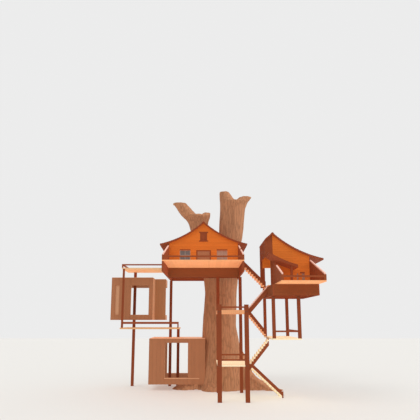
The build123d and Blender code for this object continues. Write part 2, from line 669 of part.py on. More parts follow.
with BuildPart() as half_awning:
    post(AWNING_POST_X, AWNING_Y + AWNING_POST, AWNING_POST, HALF_FLOOR_Z, AWNING_RIDGE_Z)
    clear_awning()
    with BuildSketch(Plane.XZ.offset(-HALF_WALL_Y)) as outline:
        with BuildLine():
            top = awning_line()
            under = awning_line(AWNING_THICK)
            Line(top @ 0, under @ 0)
            Line(top @ 1, under @ 1)
        make_face()
    extrude(amount=HALF_WALL_Y - AWNING_Y)
half_awning.part.label = "half_awning"
export_step(half_awning.part, "parts/half_awning.step")

# Stair tower: posts and landings
TOWER_POST_PLAN = [
    (TOWER_LEFT_X, TOWER_FRONT_Y, TOWER_POST),
    (LANDING_SIDE - TOWER_POST / 2, TOWER_FRONT_Y, TOWER_POST),
    (TOWER_LEFT_X, TOWER_BACK_Y, BACK_POST),
    (TOWER_RIGHT_X, TOWER_BACK_Y, BACK_POST),
]
with BuildPart() as tower_posts:
    for x, y, size in TOWER_POST_PLAN:
        post(x, y, size, 0, TOWER_POST_TOP if y == TOWER_FRONT_Y else BASE_Z)
tower_posts.part.label = "tower_posts"
export_step(tower_posts.part, "parts/tower_posts.step")

with BuildPart() as stair_landings:
    for z, thick in ((UPPER_LANDING_Z, UPPER_LANDING), (LOWER_LANDING_Z, LOWER_LANDING)):
        bar(TOWER_LEFT_X - TOWER_POST / 2, LANDING_SIDE, TOWER_FRONT_Y - TOWER_POST / 2,
            TOWER_BACK_Y + BACK_POST / 2, z - thick, z)
        for x, y, size in TOWER_POST_PLAN:
            post(x, y, size, z - thick, z, Mode.SUBTRACT)
stair_landings.part.label = "stair_landings"
export_step(stair_landings.part, "parts/stair_landings.step")

with BuildPart() as hanging_posts:
    for x in (HALF_LEFT_X + HANGER / 2, HANGING_RIGHT_X - HANGER / 2):
        for y in (HANGING_FRONT_Y + HANGER / 2, HALF_BACK_Y - HANGER / 2):
            post(x, y, HANGER, HANGING_Z, HALF_BASE_Z)
hanging_posts.part.label = "hanging_posts"
export_step(hanging_posts.part, "parts/hanging_posts.step")

with BuildPart() as hanging_platform:
    bar(HALF_LEFT_X, HANGING_RIGHT_X, HANGING_FRONT_Y, HALF_BACK_Y, HANGING_Z - PLATFORM, HANGING_Z)
hanging_platform.part.label = "hanging_platform"
export_step(hanging_platform.part, "parts/hanging_platform.step")


with BuildPart() as tower_rails:
    for z, rise in LANDING_RAILS:
        bar(TOWER_LEFT_X + TOWER_POST / 2, LANDING_SIDE - TOWER_POST, TOWER_FRONT_Y - RAIL / 2,
            TOWER_FRONT_Y + RAIL / 2, z + rise - RAIL / 2, z + rise + RAIL / 2)
    bar(HALF_LEFT_X + HANGER, HANGING_RIGHT_X - HANGER, HANGING_FRONT_Y + HANGER / 2 - RAIL / 2,
        HANGING_FRONT_Y + HANGER / 2 + RAIL / 2, HANGING_Z + HANGING_RAIL, HANGING_Z + HANGING_RAIL + RAIL)
    bar(HANGING_RIGHT_X - HANGER / 2 - RAIL / 2, HANGING_RIGHT_X - HANGER / 2 + RAIL / 2,
        HANGING_FRONT_Y + HANGER, HALF_BACK_Y - HANGER, HANGING_Z + HANGING_RAIL,
        HANGING_Z + HANGING_RAIL + RAIL)
tower_rails.part.label = "tower_rails"
export_step(tower_rails.part, "parts/tower_rails.step")


class Flight:
    """A straight flight from its upper end to its lower end, in one lane."""

    def __init__(self, label, top_x, top_z, foot_x, foot_z, lane_y, risers, parapet):
        self.label = label
        self.top_x = top_x
        self.top_z = top_z
        self.foot_x = foot_x
        self.foot_z = foot_z
        self.y0 = lane_y - STAIR_WIDTH / 2
        self.y1 = lane_y + STAIR_WIDTH / 2
        self.risers = risers
        self.rise = (top_z - foot_z) / risers
        self.going = (foot_x - top_x) / (risers - 1)
        self.parapet = parapet

    def steps(self, y0, y1, mode=Mode.ADD):
        """The treads, each one riser lower than the last."""
        for i in range(1, self.risers):
            nose_x = self.top_x + i * self.going
            x0, x1 = sorted((nose_x, nose_x - self.going))
            step_z = self.top_z - i * self.rise
            bar(x0, x1, y0, y1, step_z - STEP_THICK, step_z, mode)

    def string_outline(self):
        """The side board: a parapet on the steps with a newel at each end, or a board below them."""
        nose_z = self.foot_z + self.rise
        if self.parapet:
            low = -STRING_LAP
            high = low + STRING_DEEP
            return [(self.top_x - NEWEL, self.top_z), (self.top_x - NEWEL, self.top_z + high),
                    (self.top_x, self.top_z + high), (self.foot_x, nose_z + high),
                    (self.foot_x + NEWEL, nose_z + high), (self.foot_x + NEWEL, self.foot_z),
                    (self.foot_x, self.foot_z), (self.foot_x, nose_z + low),
                    (self.top_x, self.top_z + low), (self.top_x, self.top_z)]
        high = STRING_LAP - STEP_THICK - self.rise
        low = high - STRING_DEEP
        end = NEWEL / 2 if self.foot_x > self.top_x else -NEWEL / 2
        slope = (nose_z - self.top_z) / (self.foot_x - self.top_x)
        return [(self.top_x, self.top_z + low), (self.top_x, self.top_z), (self.top_x + end, self.top_z),
                (self.top_x + end, self.top_z + high + end * slope),
                (self.foot_x - end, nose_z + high - end * slope),
                (self.foot_x - end, self.foot_z), (self.foot_x, self.foot_z), (self.foot_x, nose_z + low)]


FLIGHTS = [
    Flight("flight_a", DECK_RIGHT_X, MAIN_FLOOR_Z, HALF_LEFT_X, HALF_FLOOR_Z, FAR_LANE_Y, 11, True),
    Flight("flight_b", HALF_LEFT_X, HALF_FLOOR_Z, LANDING_SIDE, UPPER_LANDING_Z, NEAR_LANE_Y, 11, False),
    Flight("flight_c", LANDING_SIDE, UPPER_LANDING_Z, HALF_LEFT_X, HANGING_Z, FAR_LANE_Y, 11, True),
    Flight("flight_d", HALF_LEFT_X, HANGING_Z, LANDING_SIDE, LOWER_LANDING_Z, NEAR_LANE_Y, 11, False),
    Flight("flight_e", LANDING_SIDE, LOWER_LANDING_Z, FOOT_X, 0, FAR_LANE_Y, 15, True),
]

for flight in FLIGHTS:
    with BuildPart() as treads:
        flight.steps(flight.y0, flight.y1)
    treads.part.label = f"{flight.label}_treads"
    export_step(treads.part, f"parts/{flight.label}_treads.step")

with BuildPart() as stair_strings:
    for flight in FLIGHTS:
        for y in (flight.y0, flight.y1 - STRING):
            across(flight.string_outline(), y, y + STRING)
    for flight in FLIGHTS:
        flight.steps(flight.y0, flight.y1, Mode.SUBTRACT)
stair_strings.part.label = "stair_strings"
export_step(stair_strings.part, "parts/stair_strings.step")

# Left side: walkway, lower platform and posts
with BuildPart() as walkway_deck:
    bar(LEFT_DECK_X, DECK_LEFT_X, LEFT_FRONT_Y, POST_ROW_Y + POST, MAIN_DECK_Z, MAIN_FLOOR_Z)
walkway_deck.part.label = "walkway_deck"
export_step(walkway_deck.part, "parts/walkway_deck.step")

with BuildPart() as lower_platform:
    bar(LEFT_DECK_X, LOWER_RIGHT_X, LEFT_FRONT_Y, POST_ROW_Y - POST / 2,
        LOWER_TOP_Z - LOWER_THICK, LOWER_TOP_Z)
lower_platform.part.label = "lower_platform"
export_step(lower_platform.part, "parts/lower_platform.step")

with BuildPart() as left_posts:
    post(OUTER_POST_X, POST_ROW_Y, POST, 0, MAIN_DECK_Z)
    post(INNER_POST_X, POST_ROW_Y, POST, 0, BASE_Z)
    post(SHORT_POST_X, POST_ROW_Y, POST, 0, LOWER_TOP_Z)
    post(CORNER_POST_X, LEFT_FRONT_Y + CORNER_POST / 2, CORNER_POST, LOWER_TOP_Z, MAIN_DECK_Z)
left_posts.part.label = "left_posts"
export_step(left_posts.part, "parts/left_posts.step")

# Rails of the walkway, the lower platform, the landings and the hanging platform
with BuildPart() as deck_rails:
    bar(LEFT_DECK_X, DECK_LEFT_X, LEFT_FRONT_Y, LEFT_FRONT_Y + RAIL,
        MAIN_FLOOR_Z + RAIL_RISE, MAIN_FLOOR_Z + RAIL_RISE + RAIL)
    bar(LEFT_DECK_X, LEFT_DECK_X + RAIL, LEFT_FRONT_Y + RAIL, POST_ROW_Y + POST,
        MAIN_FLOOR_Z + RAIL_RISE, MAIN_FLOOR_Z + RAIL_RISE + RAIL)
    for y in (LEFT_FRONT_Y, POST_ROW_Y + POST - RAIL):
        bar(LEFT_DECK_X, LEFT_DECK_X + RAIL, y, y + RAIL, MAIN_FLOOR_Z, MAIN_FLOOR_Z + RAIL_RISE)
    bar(CORNER_POST_X + CORNER_POST / 2, LOWER_RIGHT_X, LEFT_FRONT_Y, LEFT_FRONT_Y + RAIL,
        LOWER_TOP_Z + LOWER_RAIL, LOWER_TOP_Z + LOWER_RAIL + LOWER_RAIL_DEEP)
    post(LOWER_RIGHT_X - RAIL / 2, LEFT_FRONT_Y + RAIL / 2, RAIL, LOWER_TOP_Z, LOWER_TOP_Z + LOWER_RAIL)
deck_rails.part.label = "deck_rails"
export_step(deck_rails.part, "parts/deck_rails.step")

# Upper room: an L-shaped carved room round the outer post
STEP_IN_X = UPPER_ROOM_STEP_X - ROOM_WALL
STEP_IN_Y = UPPER_ROOM_STEP_Y + ROOM_WALL


def upper_plan(z0, z1, inset=0, mode=Mode.ADD):
    """The L-shaped plan of the upper room, inset from its outside."""
    bar(UPPER_ROOM_X0 + inset, UPPER_ROOM_STEP_X - inset, UPPER_ROOM_Y0 + inset, UPPER_ROOM_Y1 - inset,
        z0, z1, mode)
    bar(UPPER_ROOM_X0 + inset, UPPER_ROOM_X1 - inset, UPPER_ROOM_STEP_Y + inset, UPPER_ROOM_Y1 - inset,
        z0, z1, mode)


UPPER_IN_Z0 = UPPER_ROOM_Z0 + ROOM_SLAB
UPPER_IN_Z1 = UPPER_ROOM_Z1 - ROOM_SLAB
UPPER_BACK_IN_Y = UPPER_ROOM_Y1 - ROOM_WALL
UPPER_LEFT_IN_X = UPPER_ROOM_X0 + ROOM_WALL
with BuildPart() as upper_room_floor:
    upper_plan(UPPER_ROOM_Z0, UPPER_IN_Z0)
    post(OUTER_POST_X, POST_ROW_Y, POST, UPPER_ROOM_Z0, UPPER_IN_Z0, Mode.SUBTRACT)
upper_room_floor.part.label = "upper_room_floor"
export_step(upper_room_floor.part, "parts/upper_room_floor.step")

with BuildPart() as upper_room_roof:
    upper_plan(UPPER_IN_Z1, UPPER_ROOM_Z1)
    post(OUTER_POST_X, POST_ROW_Y, POST, UPPER_IN_Z1, UPPER_ROOM_Z1, Mode.SUBTRACT)
upper_room_roof.part.label = "upper_room_roof"
export_step(upper_room_roof.part, "parts/upper_room_roof.step")

with BuildPart() as upper_room_front:
    bar(UPPER_ROOM_X0, UPPER_ROOM_STEP_X, UPPER_ROOM_Y0, UPPER_ROOM_Y0 + ROOM_WALL, UPPER_IN_Z0, UPPER_IN_Z1)
    bar(UPPER_WINDOW_X0, UPPER_WINDOW_X1, UPPER_ROOM_Y0, UPPER_ROOM_Y0 + ROOM_WALL,
        UPPER_SILL_Z, UPPER_HEAD_Z, Mode.SUBTRACT)
    bar(SLIT_X0, SLIT_X1, UPPER_ROOM_Y0, UPPER_ROOM_Y0 + SLIT_DEEP, UPPER_SILL_Z, UPPER_HEAD_Z, Mode.SUBTRACT)
    bar(STEP_IN_X, UPPER_ROOM_X1, UPPER_ROOM_STEP_Y, STEP_IN_Y, UPPER_IN_Z0, UPPER_IN_Z1)
upper_room_front.part.label = "upper_room_front"
export_step(upper_room_front.part, "parts/upper_room_front.step")

with BuildPart() as upper_room_back:
    bar(UPPER_ROOM_X0, UPPER_ROOM_X1, UPPER_BACK_IN_Y, UPPER_ROOM_Y1, UPPER_IN_Z0, UPPER_IN_Z1)
    bar(UPPER_BACK_WINDOW_X0, UPPER_BACK_WINDOW_X1, UPPER_BACK_IN_Y, UPPER_ROOM_Y1,
        UPPER_SILL_Z, UPPER_HEAD_Z, Mode.SUBTRACT)
    bar(UPPER_ROOM_X1 - ROOM_WALL, UPPER_ROOM_X1, UPPER_BACK_IN_Y, UPPER_ROOM_Y1,
        UPPER_SILL_Z, UPPER_HEAD_Z, Mode.SUBTRACT)
upper_room_back.part.label = "upper_room_back"
export_step(upper_room_back.part, "parts/upper_room_back.step")

with BuildPart() as upper_room_ends:
    bar(UPPER_ROOM_X0, UPPER_LEFT_IN_X, UPPER_ROOM_Y0 + ROOM_WALL, UPPER_BACK_IN_Y, UPPER_IN_Z0, UPPER_IN_Z1)
    bar(STEP_IN_X, UPPER_ROOM_STEP_X, UPPER_ROOM_Y0 + ROOM_WALL, UPPER_ROOM_STEP_Y, UPPER_IN_Z0, UPPER_IN_Z1)
    for low, high in ((UPPER_IN_Z0, UPPER_SILL_Z), (UPPER_HEAD_Z, UPPER_IN_Z1)):
        bar(UPPER_ROOM_X1 - ROOM_WALL, UPPER_ROOM_X1, STEP_IN_Y, UPPER_BACK_IN_Y, low, high)
upper_room_ends.part.label = "upper_room_ends"
export_step(upper_room_ends.part, "parts/upper_room_ends.step")

# Ground room: a carved room between two posts and the trunk
GROUND_IN_Z0 = GROUND_ROOM_Z0 + ROOM_SLAB
GROUND_IN_Z1 = GROUND_ROOM_Z1 - ROOM_SLAB


def post_holes(z0, z1):
    """Holes for the two posts that carry the ground room."""
    for x in (INNER_POST_X, SHORT_POST_X):
        post(x, POST_ROW_Y, POST, z0, z1, Mode.SUBTRACT)


with BuildPart() as ground_room_floor:
    bar(GROUND_ROOM_X0, GROUND_ROOM_X1, GROUND_ROOM_Y0, GROUND_ROOM_Y1, GROUND_ROOM_Z0, GROUND_IN_Z0)
    post_holes(GROUND_ROOM_Z0, GROUND_IN_Z0)
    clear_foot()
ground_room_floor.part.label = "ground_room_floor"
export_step(ground_room_floor.part, "parts/ground_room_floor.step")

with BuildPart() as ground_room_roof:
    bar(GROUND_ROOM_X0, GROUND_ROOM_X1, GROUND_ROOM_Y0, GROUND_ROOM_Y1, GROUND_IN_Z1, GROUND_ROOM_Z1)
    post_holes(GROUND_IN_Z1, GROUND_ROOM_Z1)
    clear_foot()
ground_room_roof.part.label = "ground_room_roof"
export_step(ground_room_roof.part, "parts/ground_room_roof.step")

with BuildPart() as ground_room_front:
    bar(GROUND_ROOM_X0, GROUND_ROOM_X1, GROUND_ROOM_Y0, GROUND_ROOM_Y0 + ROOM_WALL, GROUND_IN_Z0, GROUND_IN_Z1)
    bar(GROUND_WINDOW_X0, GROUND_WINDOW_X1, GROUND_ROOM_Y0, GROUND_ROOM_Y0 + ROOM_WALL, GROUND_SILL_Z, GROUND_HEAD_Z, Mode.SUBTRACT)
    clear_foot()
ground_room_front.part.label = "ground_room_front"
export_step(ground_room_front.part, "parts/ground_room_front.step")

with BuildPart() as ground_room_back:
    bar(GROUND_ROOM_X0, GROUND_ROOM_X1, GROUND_ROOM_Y1 - ROOM_WALL, GROUND_ROOM_Y1, GROUND_IN_Z0, GROUND_IN_Z1)
    bar(GROUND_BACK_WINDOW_X0, GROUND_BACK_WINDOW_X1, GROUND_ROOM_Y1 - ROOM_WALL, GROUND_ROOM_Y1,
        GROUND_SILL_Z, GROUND_HEAD_Z, Mode.SUBTRACT)
ground_room_back.part.label = "ground_room_back"
export_step(ground_room_back.part, "parts/ground_room_back.step")

with BuildPart() as ground_room_ends:
    bar(GROUND_ROOM_X0, GROUND_ROOM_X0 + ROOM_WALL, GROUND_ROOM_Y0 + ROOM_WALL, GROUND_ROOM_Y1 - ROOM_WALL,
        GROUND_IN_Z0, GROUND_IN_Z1)
    bar(GROUND_ROOM_X1 - ROOM_WALL, GROUND_ROOM_X1, 0, GROUND_ROOM_Y1 - ROOM_WALL,
        GROUND_IN_Z0, GROUND_IN_Z1)
    clear_foot()
ground_room_ends.part.label = "ground_room_ends"
export_step(ground_room_ends.part, "parts/ground_room_ends.step")
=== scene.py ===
"""Looks of the tree house: bark, boards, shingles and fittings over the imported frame."""
import json
import math

import bmesh
import bpy
import numpy as np
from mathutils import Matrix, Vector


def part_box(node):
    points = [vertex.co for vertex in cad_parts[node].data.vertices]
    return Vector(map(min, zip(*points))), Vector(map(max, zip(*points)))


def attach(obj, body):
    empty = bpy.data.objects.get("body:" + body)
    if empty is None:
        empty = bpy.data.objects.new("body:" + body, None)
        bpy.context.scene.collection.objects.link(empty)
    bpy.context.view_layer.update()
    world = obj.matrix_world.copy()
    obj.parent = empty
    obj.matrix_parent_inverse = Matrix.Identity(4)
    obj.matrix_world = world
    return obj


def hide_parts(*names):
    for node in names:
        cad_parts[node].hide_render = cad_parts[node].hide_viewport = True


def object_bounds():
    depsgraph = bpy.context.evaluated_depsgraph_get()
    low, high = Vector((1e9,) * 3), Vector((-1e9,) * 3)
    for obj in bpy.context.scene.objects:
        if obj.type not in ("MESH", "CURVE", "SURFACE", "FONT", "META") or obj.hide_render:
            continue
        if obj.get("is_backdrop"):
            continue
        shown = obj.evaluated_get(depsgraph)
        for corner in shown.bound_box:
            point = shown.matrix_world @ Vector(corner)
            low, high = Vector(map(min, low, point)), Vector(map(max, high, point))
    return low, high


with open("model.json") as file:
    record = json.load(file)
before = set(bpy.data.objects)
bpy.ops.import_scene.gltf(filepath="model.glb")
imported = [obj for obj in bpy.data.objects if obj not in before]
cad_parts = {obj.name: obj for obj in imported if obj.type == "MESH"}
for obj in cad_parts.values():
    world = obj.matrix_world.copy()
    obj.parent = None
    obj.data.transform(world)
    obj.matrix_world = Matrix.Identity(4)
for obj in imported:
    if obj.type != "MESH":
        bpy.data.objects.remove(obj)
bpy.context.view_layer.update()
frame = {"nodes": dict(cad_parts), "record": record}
NODES = frame["nodes"]
LUCK = np.random.default_rng(7)

# Camera, matched to the photograph's view
CAMERA_PLACE = (-1.4, -60.33, 7.655)
CAMERA_PITCH_DEG = 12.41
FOCAL_SHARE = 500 / 420
SENSOR_MM = 36.0
SHIFT_X = 3 / 420

# Light: name, direction that it comes from, strength, and whether it casts shadows
WORLD_STRENGTH = 0.74
BACKDROP_STRENGTH = 0.84
SUNS = [
    ("key", (0.72, -0.12, 0.68), 2.1, False),
    ("bounce", (-0.10, -0.32, -0.94), 1.3, False),
    ("fill", (-0.52, -0.50, 0.69), 0.45, True),
]
SUN_SOFT_DEG = 24
SUN_FAR = 40
FLOOR_SIDE = 160

# Colours as they show, red, green and blue from 0 to 255
ORANGE = (210, 113, 41)
RED_BROWN = (139, 69, 38)
BASE_BROWN = (135, 76, 42)
HALF_BASE_BROWN = (130, 68, 35)
# A lighter copy of ORANGE for the wall inside the bay: painted light against the shade under the awning.
BAY_ORANGE_PAINTED_LIGHT = (224, 128, 49)
SHINGLE_BROWN = (139, 68, 39)
TAN = (243, 172, 119)
# A lighter copy of TAN for the upper flights' treads and risers: painted light that offsets the shade under
# the flights.
STEP_TAN_PAINTED_LIGHT = (249, 188, 138)
PALE_TAN = (248, 231, 194)
WEATHERED = (213, 166, 118)
# Less red than TAN for the walkway: painted to cancel the reddish light bounced onto its underside from the
# room roof below.
WALKWAY_TAN_PAINTED_LIGHT = (222, 185, 142)
LANDING_TAN = (226, 159, 112)
POST_BROWN = (132, 64, 35)
TRUNK_BROWN = (176, 123, 89)
ROOM_BROWN = (163, 107, 74)
# A lighter copy of ROOM_BROWN for the upper room's recessed front: painted light against the shade cast on
# it.
RECESS_PAINTED_LIGHT_BROWN = (174, 127, 90)
# A lighter copy of ROOM_BROWN for the rooms' inner back walls: painted light where the insides would lie in
# shade.
INNER_PAINTED_LIGHT_BROWN = (196, 142, 104)
# A pale copy of ROOM_BROWN for the rooms' roof boards: painted light on the tops that face up.
ROOM_TOP_PAINTED_LIGHT = (228, 176, 142)
CUT_WOOD = (205, 150, 104)
DOOR_BROWN = (164, 110, 78)
# Pale pink of the second flight's capping and the porch wings' caps: a painted highlight on top edges.
CAP_HIGHLIGHT_PINK = (232, 186, 168)
# Window colours, painted: the panes carry a painted view of what lies behind them, dark grey at the left
# window and the trunk's warm brown at the right; the right window's bars take the warm tint too.
GLASS_PAINTED_VIEW_DARK = (106, 98, 94)
GLASS_PAINTED_VIEW_WARM = (160, 124, 104)
BAR_GREY = (170, 158, 146)
BAR_PAINTED_VIEW_WARM = (186, 146, 124)
# A lighter copy of ROOM_BROWN for the rooms' right-facing ends, window jambs, sills and the slit's back:
# painted light on faces turned up or towards the key light.
ROOM_PAINTED_LIGHT = (199, 147, 111)
STEEL_GREY = (92, 84, 78)
FLOOR_PALE = (214, 212, 208)

# Tree: each level section is height, centre x, centre y and half width
TREE_DEPTH = 0.95
FORK_Z = 15.8
TRUNK = [
    (0, 0.15, 0, 2.9), (2.9, 0.2, 0, 2.45), (5.0, 0.18, 0, 2.15), (7.0, 0.05, 0, 1.95), (10.8, 0.25, 0, 1.87),
    (12.3, 0.27, 0, 2.03), (13.5, 0.1, 0, 2.05), (FORK_Z, -0.385, 0, 2.31),
]
ROOTS = [
    [(0, 3.75, -0.5, 1.4), (1.0, 2.95, -0.45, 1.2), (2.9, 2.25, -0.3, 1.15), (5.2, 1.5, -0.1, 0.7)],
    [(0, -3.9, -0.3, 1.5), (0.9, -2.7, -0.2, 1.25), (2.6, -1.8, -0.1, 1.0), (5.0, -1.25, 0, 0.7)],
    [(0, 6.05, -1.3, 1.15), (0.35, 5.1, -1.2, 0.9), (1.2, 3.6, -0.9, 0.8), (2.6, 2.3, -0.6, 0.7)],
    [(0, -0.7, -1.9, 1.3), (0.8, -0.55, -1.5, 1.1), (2.6, -0.3, -0.9, 0.9)],
    [(0, 1.7, 2.3, 1.4), (0.9, 1.4, 1.8, 1.2), (3.0, 0.9, 1.0, 0.9)],
    [(0, -1.6, 2.2, 1.4), (0.9, -1.3, 1.7, 1.2), (3.0, -0.8, 0.9, 0.9)],
]
BOUGH = [(FORK_Z, -1.65, 0, 1.0), (18.3, -2.33, 0, 1.04), (19.35, -2.48, 0, 1.19), (20.1, -2.73, 0, 1.7)]
LIMB = [
    (FORK_Z, 0.72, 0, 1.18), (16.9, 1.4, 0, 1.43), (18.3, 1.56, 0, 1.47), (20.9, 1.75, 0, 1.51),
    (21.9, 1.93, 0, 1.7),
]
CROWNS = [
    [(20.0, -2.73, 0, 1.62), (20.18, -2.7, 0, 1.36), (20.3, -2.66, 0, 0.8)],
    [(21.8, 1.93, 0, 1.62), (21.98, 1.95, 0, 1.36), (22.1, 1.97, 0, 0.8)],
]
STUBS = [
    [(20.1, -3.49, 0, 0.94), (21.75, -4.81, 0, 0.83)],
    [(20.1, -1.74, 0, 0.69), (20.55, -1.4, 0, 0.42)],
    [(21.9, 1.19, 0, 0.96), (23.2, 0.74, 0, 0.6)],
    [(21.9, 2.79, 0, 0.84), (22.55, 3.37, 0, 0.74)],
]
STUB_DEPTHS = (1.5, 1.8, 1.5, 1.65)
BARK_VOXEL = 0.11
BARK_SMOOTHING = 5
BARK_FLUTE = 0.035
BARK_FURROW = 0.014
BARK_STRETCH = (3.2, 3.2, 0.42)

# Roofs: hollow slopes through the ridge, a middle point and the eave, as run and height from the ridge
EAVE_DROP = 2.58
SLOPE = [(0, 0), (2.54, -1.73), (4.97, -EAVE_DROP)]
ROOF_THICK = 0.15
ROOF_BOARD = 0.21
SHINGLE_LONG = 0.26
SHINGLE_WIDE = 0.27
SHINGLE_THICK = 0.022
SHINGLE_GAP = 0.012
SHINGLE_EDGE = 0.012
SHINGLE_FLAT = 0.004
SHINGLE_CLEAR = 0.03
RIDGE_BOARD = 0.17
RIDGE_LIFT = 0.045
RIDGE_END = 0.02
HALF_LEFT_RUN = 0.95
AWNING_DROP = 1.23
AWNING_HOLLOW = 0.12

# Walls and boards
WALL = 0.15
SIDING_PITCH = 0.235
SIDING_LAP = 0.016
SIDING_THIN = 0.006
SIDING_ABOVE_EAVE = 0.25
HALF_SIDE_BELOW_TOP = 0.12
UNDER_ROOF = 0.01
CORNER_LIFT = 0.026
PLANK_WIDE = 0.20
BROAD_PLANK = 0.24
PLANK_GAP = 0.010
FINE_GAP = 0.004
BOARD_LIFT = 0.008
BOARD_EASE = 0.006
FINE_EASE = 0.003
RIM_SHADE = 0.38
BASE_BOARDS = 4
STEP_THICK = 0.12
RISER_THICK = 0.03
FACING_LIFT = 0.03
CAPPING_LIFT = 0.045
WING_THICK = 0.21
WING_FRONT_RISE = 0.52
STAIR_CLEAR = 0.06
LANDING_PALE_BELOW = 5.0

# Main cabin's door, windows and shutter
DOOR_FRAME_HALF = 0.83
WINDOW_HALF = 0.6
WINDOW_HIGH = 1.32
WINDOW_FRAME = 0.12
BAR_HALF = 0.02
SIDE_BAR = 0.05
END_BAR = 0.04
TRIM_PROUD = 0.06
LEAF_HALF = 0.692
DOOR_PLANKS = 5
HINGE_STRIP = 0.075
DOOR_LEDGE_HIGH = 0.12
DOOR_LEDGES = (0.22, -0.34)
RING_X = 0.16
RING_RADIUS = 0.045
RING_BAR = 0.008
SHUTTER_PLANK = 0.16
SHUTTER_LEDGES = (0.14, -0.23)
SHUTTER_LEDGE_HIGH = 0.09

# Half cabin's window, with a wide middle board and a short lintel, and its bay
HALF_WINDOW_X = (7.46, 8.24)
HALF_WINDOW_RISE = (0.33, 1.13)
MIDDLE_BOARD = (7.60, 7.96)
MIDDLE_BOARD_BACK = 0.05
SHORT_LINTEL = (7.78, 8.24)
LINTEL_HIGH = 0.14
LINTEL_LIFT = 0.045
BAY_DOOR_X = (4.90, 5.70)
BAY_DOOR_TOP = 13.19
BAY_SCREEN_Z = 13.86
BAY_ROOF_FALL = 0.86
BAY_JAMB_TOP = 13.15
BAY_POST_TOP = 15.30
SCREEN_THICK = 0.10

# Brown rooms: windows as left, right, foot and head
ROOM_BOARD = 0.42
ROOM_WALL = 0.30
ROOM_LIFT = 0.012
ROOM_ROOF_BOARDS = 13
ROOM_ROOF_LIFT = 0.022
LEAST_BOARD = 0.03
TRUNK_CLEAR = 0.05
LINING_LIFT = 0.014
SILL_BOARD = 0.20
SILL_PROUD = 0.07
SLIT_DEEP = 0.12
STEP_X, STEP_Y = -7.70, 1.00
UP_OPEN = (8.24, 11.60)
UP_WINDOW = (-10.25, -8.15, *UP_OPEN)
UP_SLIT = (-12.05, -11.60, *UP_OPEN)
UP_BACK_WINDOW = (-11.15, -8.60, *UP_OPEN)
UP_BACK_GAP_X = -6.71
UP_END_GAP_Y = 1.3
GROUND_WINDOW = (-6.15, -3.55, 1.33, 5.13)
GROUND_BACK_WINDOW = (-6.30, -3.70, 1.33, 5.13)
GROUND_SILL = (-6.17, -2.25, 1.25, 1.34)
GROUND_FRONT_END = -2.3
GROUND_BACK_END = -2.6

# Bolts: how far they sit from the posts' outer faces and from the timbers' tops
BOLT_RADIUS = 0.024
TOWER_BOLTS = (0.13, 0.29)
TOWER_BOLT_BELOW = 0.17
LOWER_BOLT_Z = 3.345
HANGER_BOLT = 0.15
HANGER_BOLTS_BELOW = (0.15, 0.40)


def linear(colour):
    """Scene-linear RGBA of a display colour given from 0 to 255."""
    c = np.asarray(colour, float) / 255
    c = np.where(c <= 0.04045, c / 12.92, ((c + 0.055) / 1.055) ** 2.4)
    return (*c, 1.0)


def shade(colour, share):
    """A display colour times a share, up to full light."""
    return [min(255, share * c) for c in colour]


def box(node):
    """A node's lowest and highest corner as arrays."""
    low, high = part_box(node)
    return np.array(low), np.array(high)


def add_object(name, data):
    """A new object in the scene."""
    thing = bpy.data.objects.new(name, data)
    bpy.context.collection.objects.link(thing)
    return thing


# Nodes
def put(tree, kind, inputs=(), **settings):
    """A shader node's outputs, with its settings, and its inputs set to values or linked from sockets."""
    node = tree.nodes.new("ShaderNode" + kind)
    for key, value in settings.items():
        setattr(node, key, value)
    for key, value in dict(inputs).items():
        if isinstance(value, bpy.types.NodeSocket):
            tree.links.new(value, node.inputs[key])
        else:
            node.inputs[key].default_value = value
    return node.outputs


def math_node(tree, operation, a, b=0.0, c=0.0):
    """The output of a Math node on up to three values."""
    return put(tree, "Math", {0: a, 1: b, 2: c}, operation=operation)[0]


def vector_node(tree, operation, a, b):
    """The output of a Vector Math node on two vectors."""
    return put(tree, "VectorMath", {0: a, 1: b}, operation=operation)[0]


def scaled(tree, colour, level):
    """A colour times a number."""
    return put(tree, "VectorMath", {0: colour, "Scale": level}, operation="SCALE")[0]


def blend(tree, share, first, second):
    """The first colour, going over to the second as the share goes from 0 to 1."""
    return put(tree, "Mix", {0: share, 6: first, 7: second}, data_type="RGBA")[2]


def noise(tree, place, scale, detail=2.0, roughness=0.5):
    """A Noise Texture's outputs at a place."""
    return put(tree, "TexNoise", {"Vector": place, "Scale": scale, "Detail": detail, "Roughness": roughness})


def remap(tree, value, start, end, low=0.0, high=1.0):
    """A value moved from the range start to end into the range low to high."""
    return put(tree, "MapRange", {"Value": value, "From Min": start, "From Max": end, "To Min": low,
                                  "To Max": high})[0]


def here(tree):
    """The shaded point's place in its object."""
    return put(tree, "TexCoord")["Object"]


def new_group(name, inputs, outputs):
    """An empty node group with its named sockets, and its input sockets."""
    group = bpy.data.node_groups.new(name, "ShaderNodeTree")
    for way, sockets in (("INPUT", inputs), ("OUTPUT", outputs)):
        for label, kind in sockets.items():
            group.interface.new_socket(name=label, in_out=way, socket_type="NodeSocket" + kind)
    return group, group.nodes.new("NodeGroupInput").outputs


def send(group, **sockets):
    """The group with sockets linked to its outputs by name."""
    out = group.nodes.new("NodeGroupOutput")
    for label, socket in sockets.items():
        group.links.new(socket, out.inputs[label])
    return group


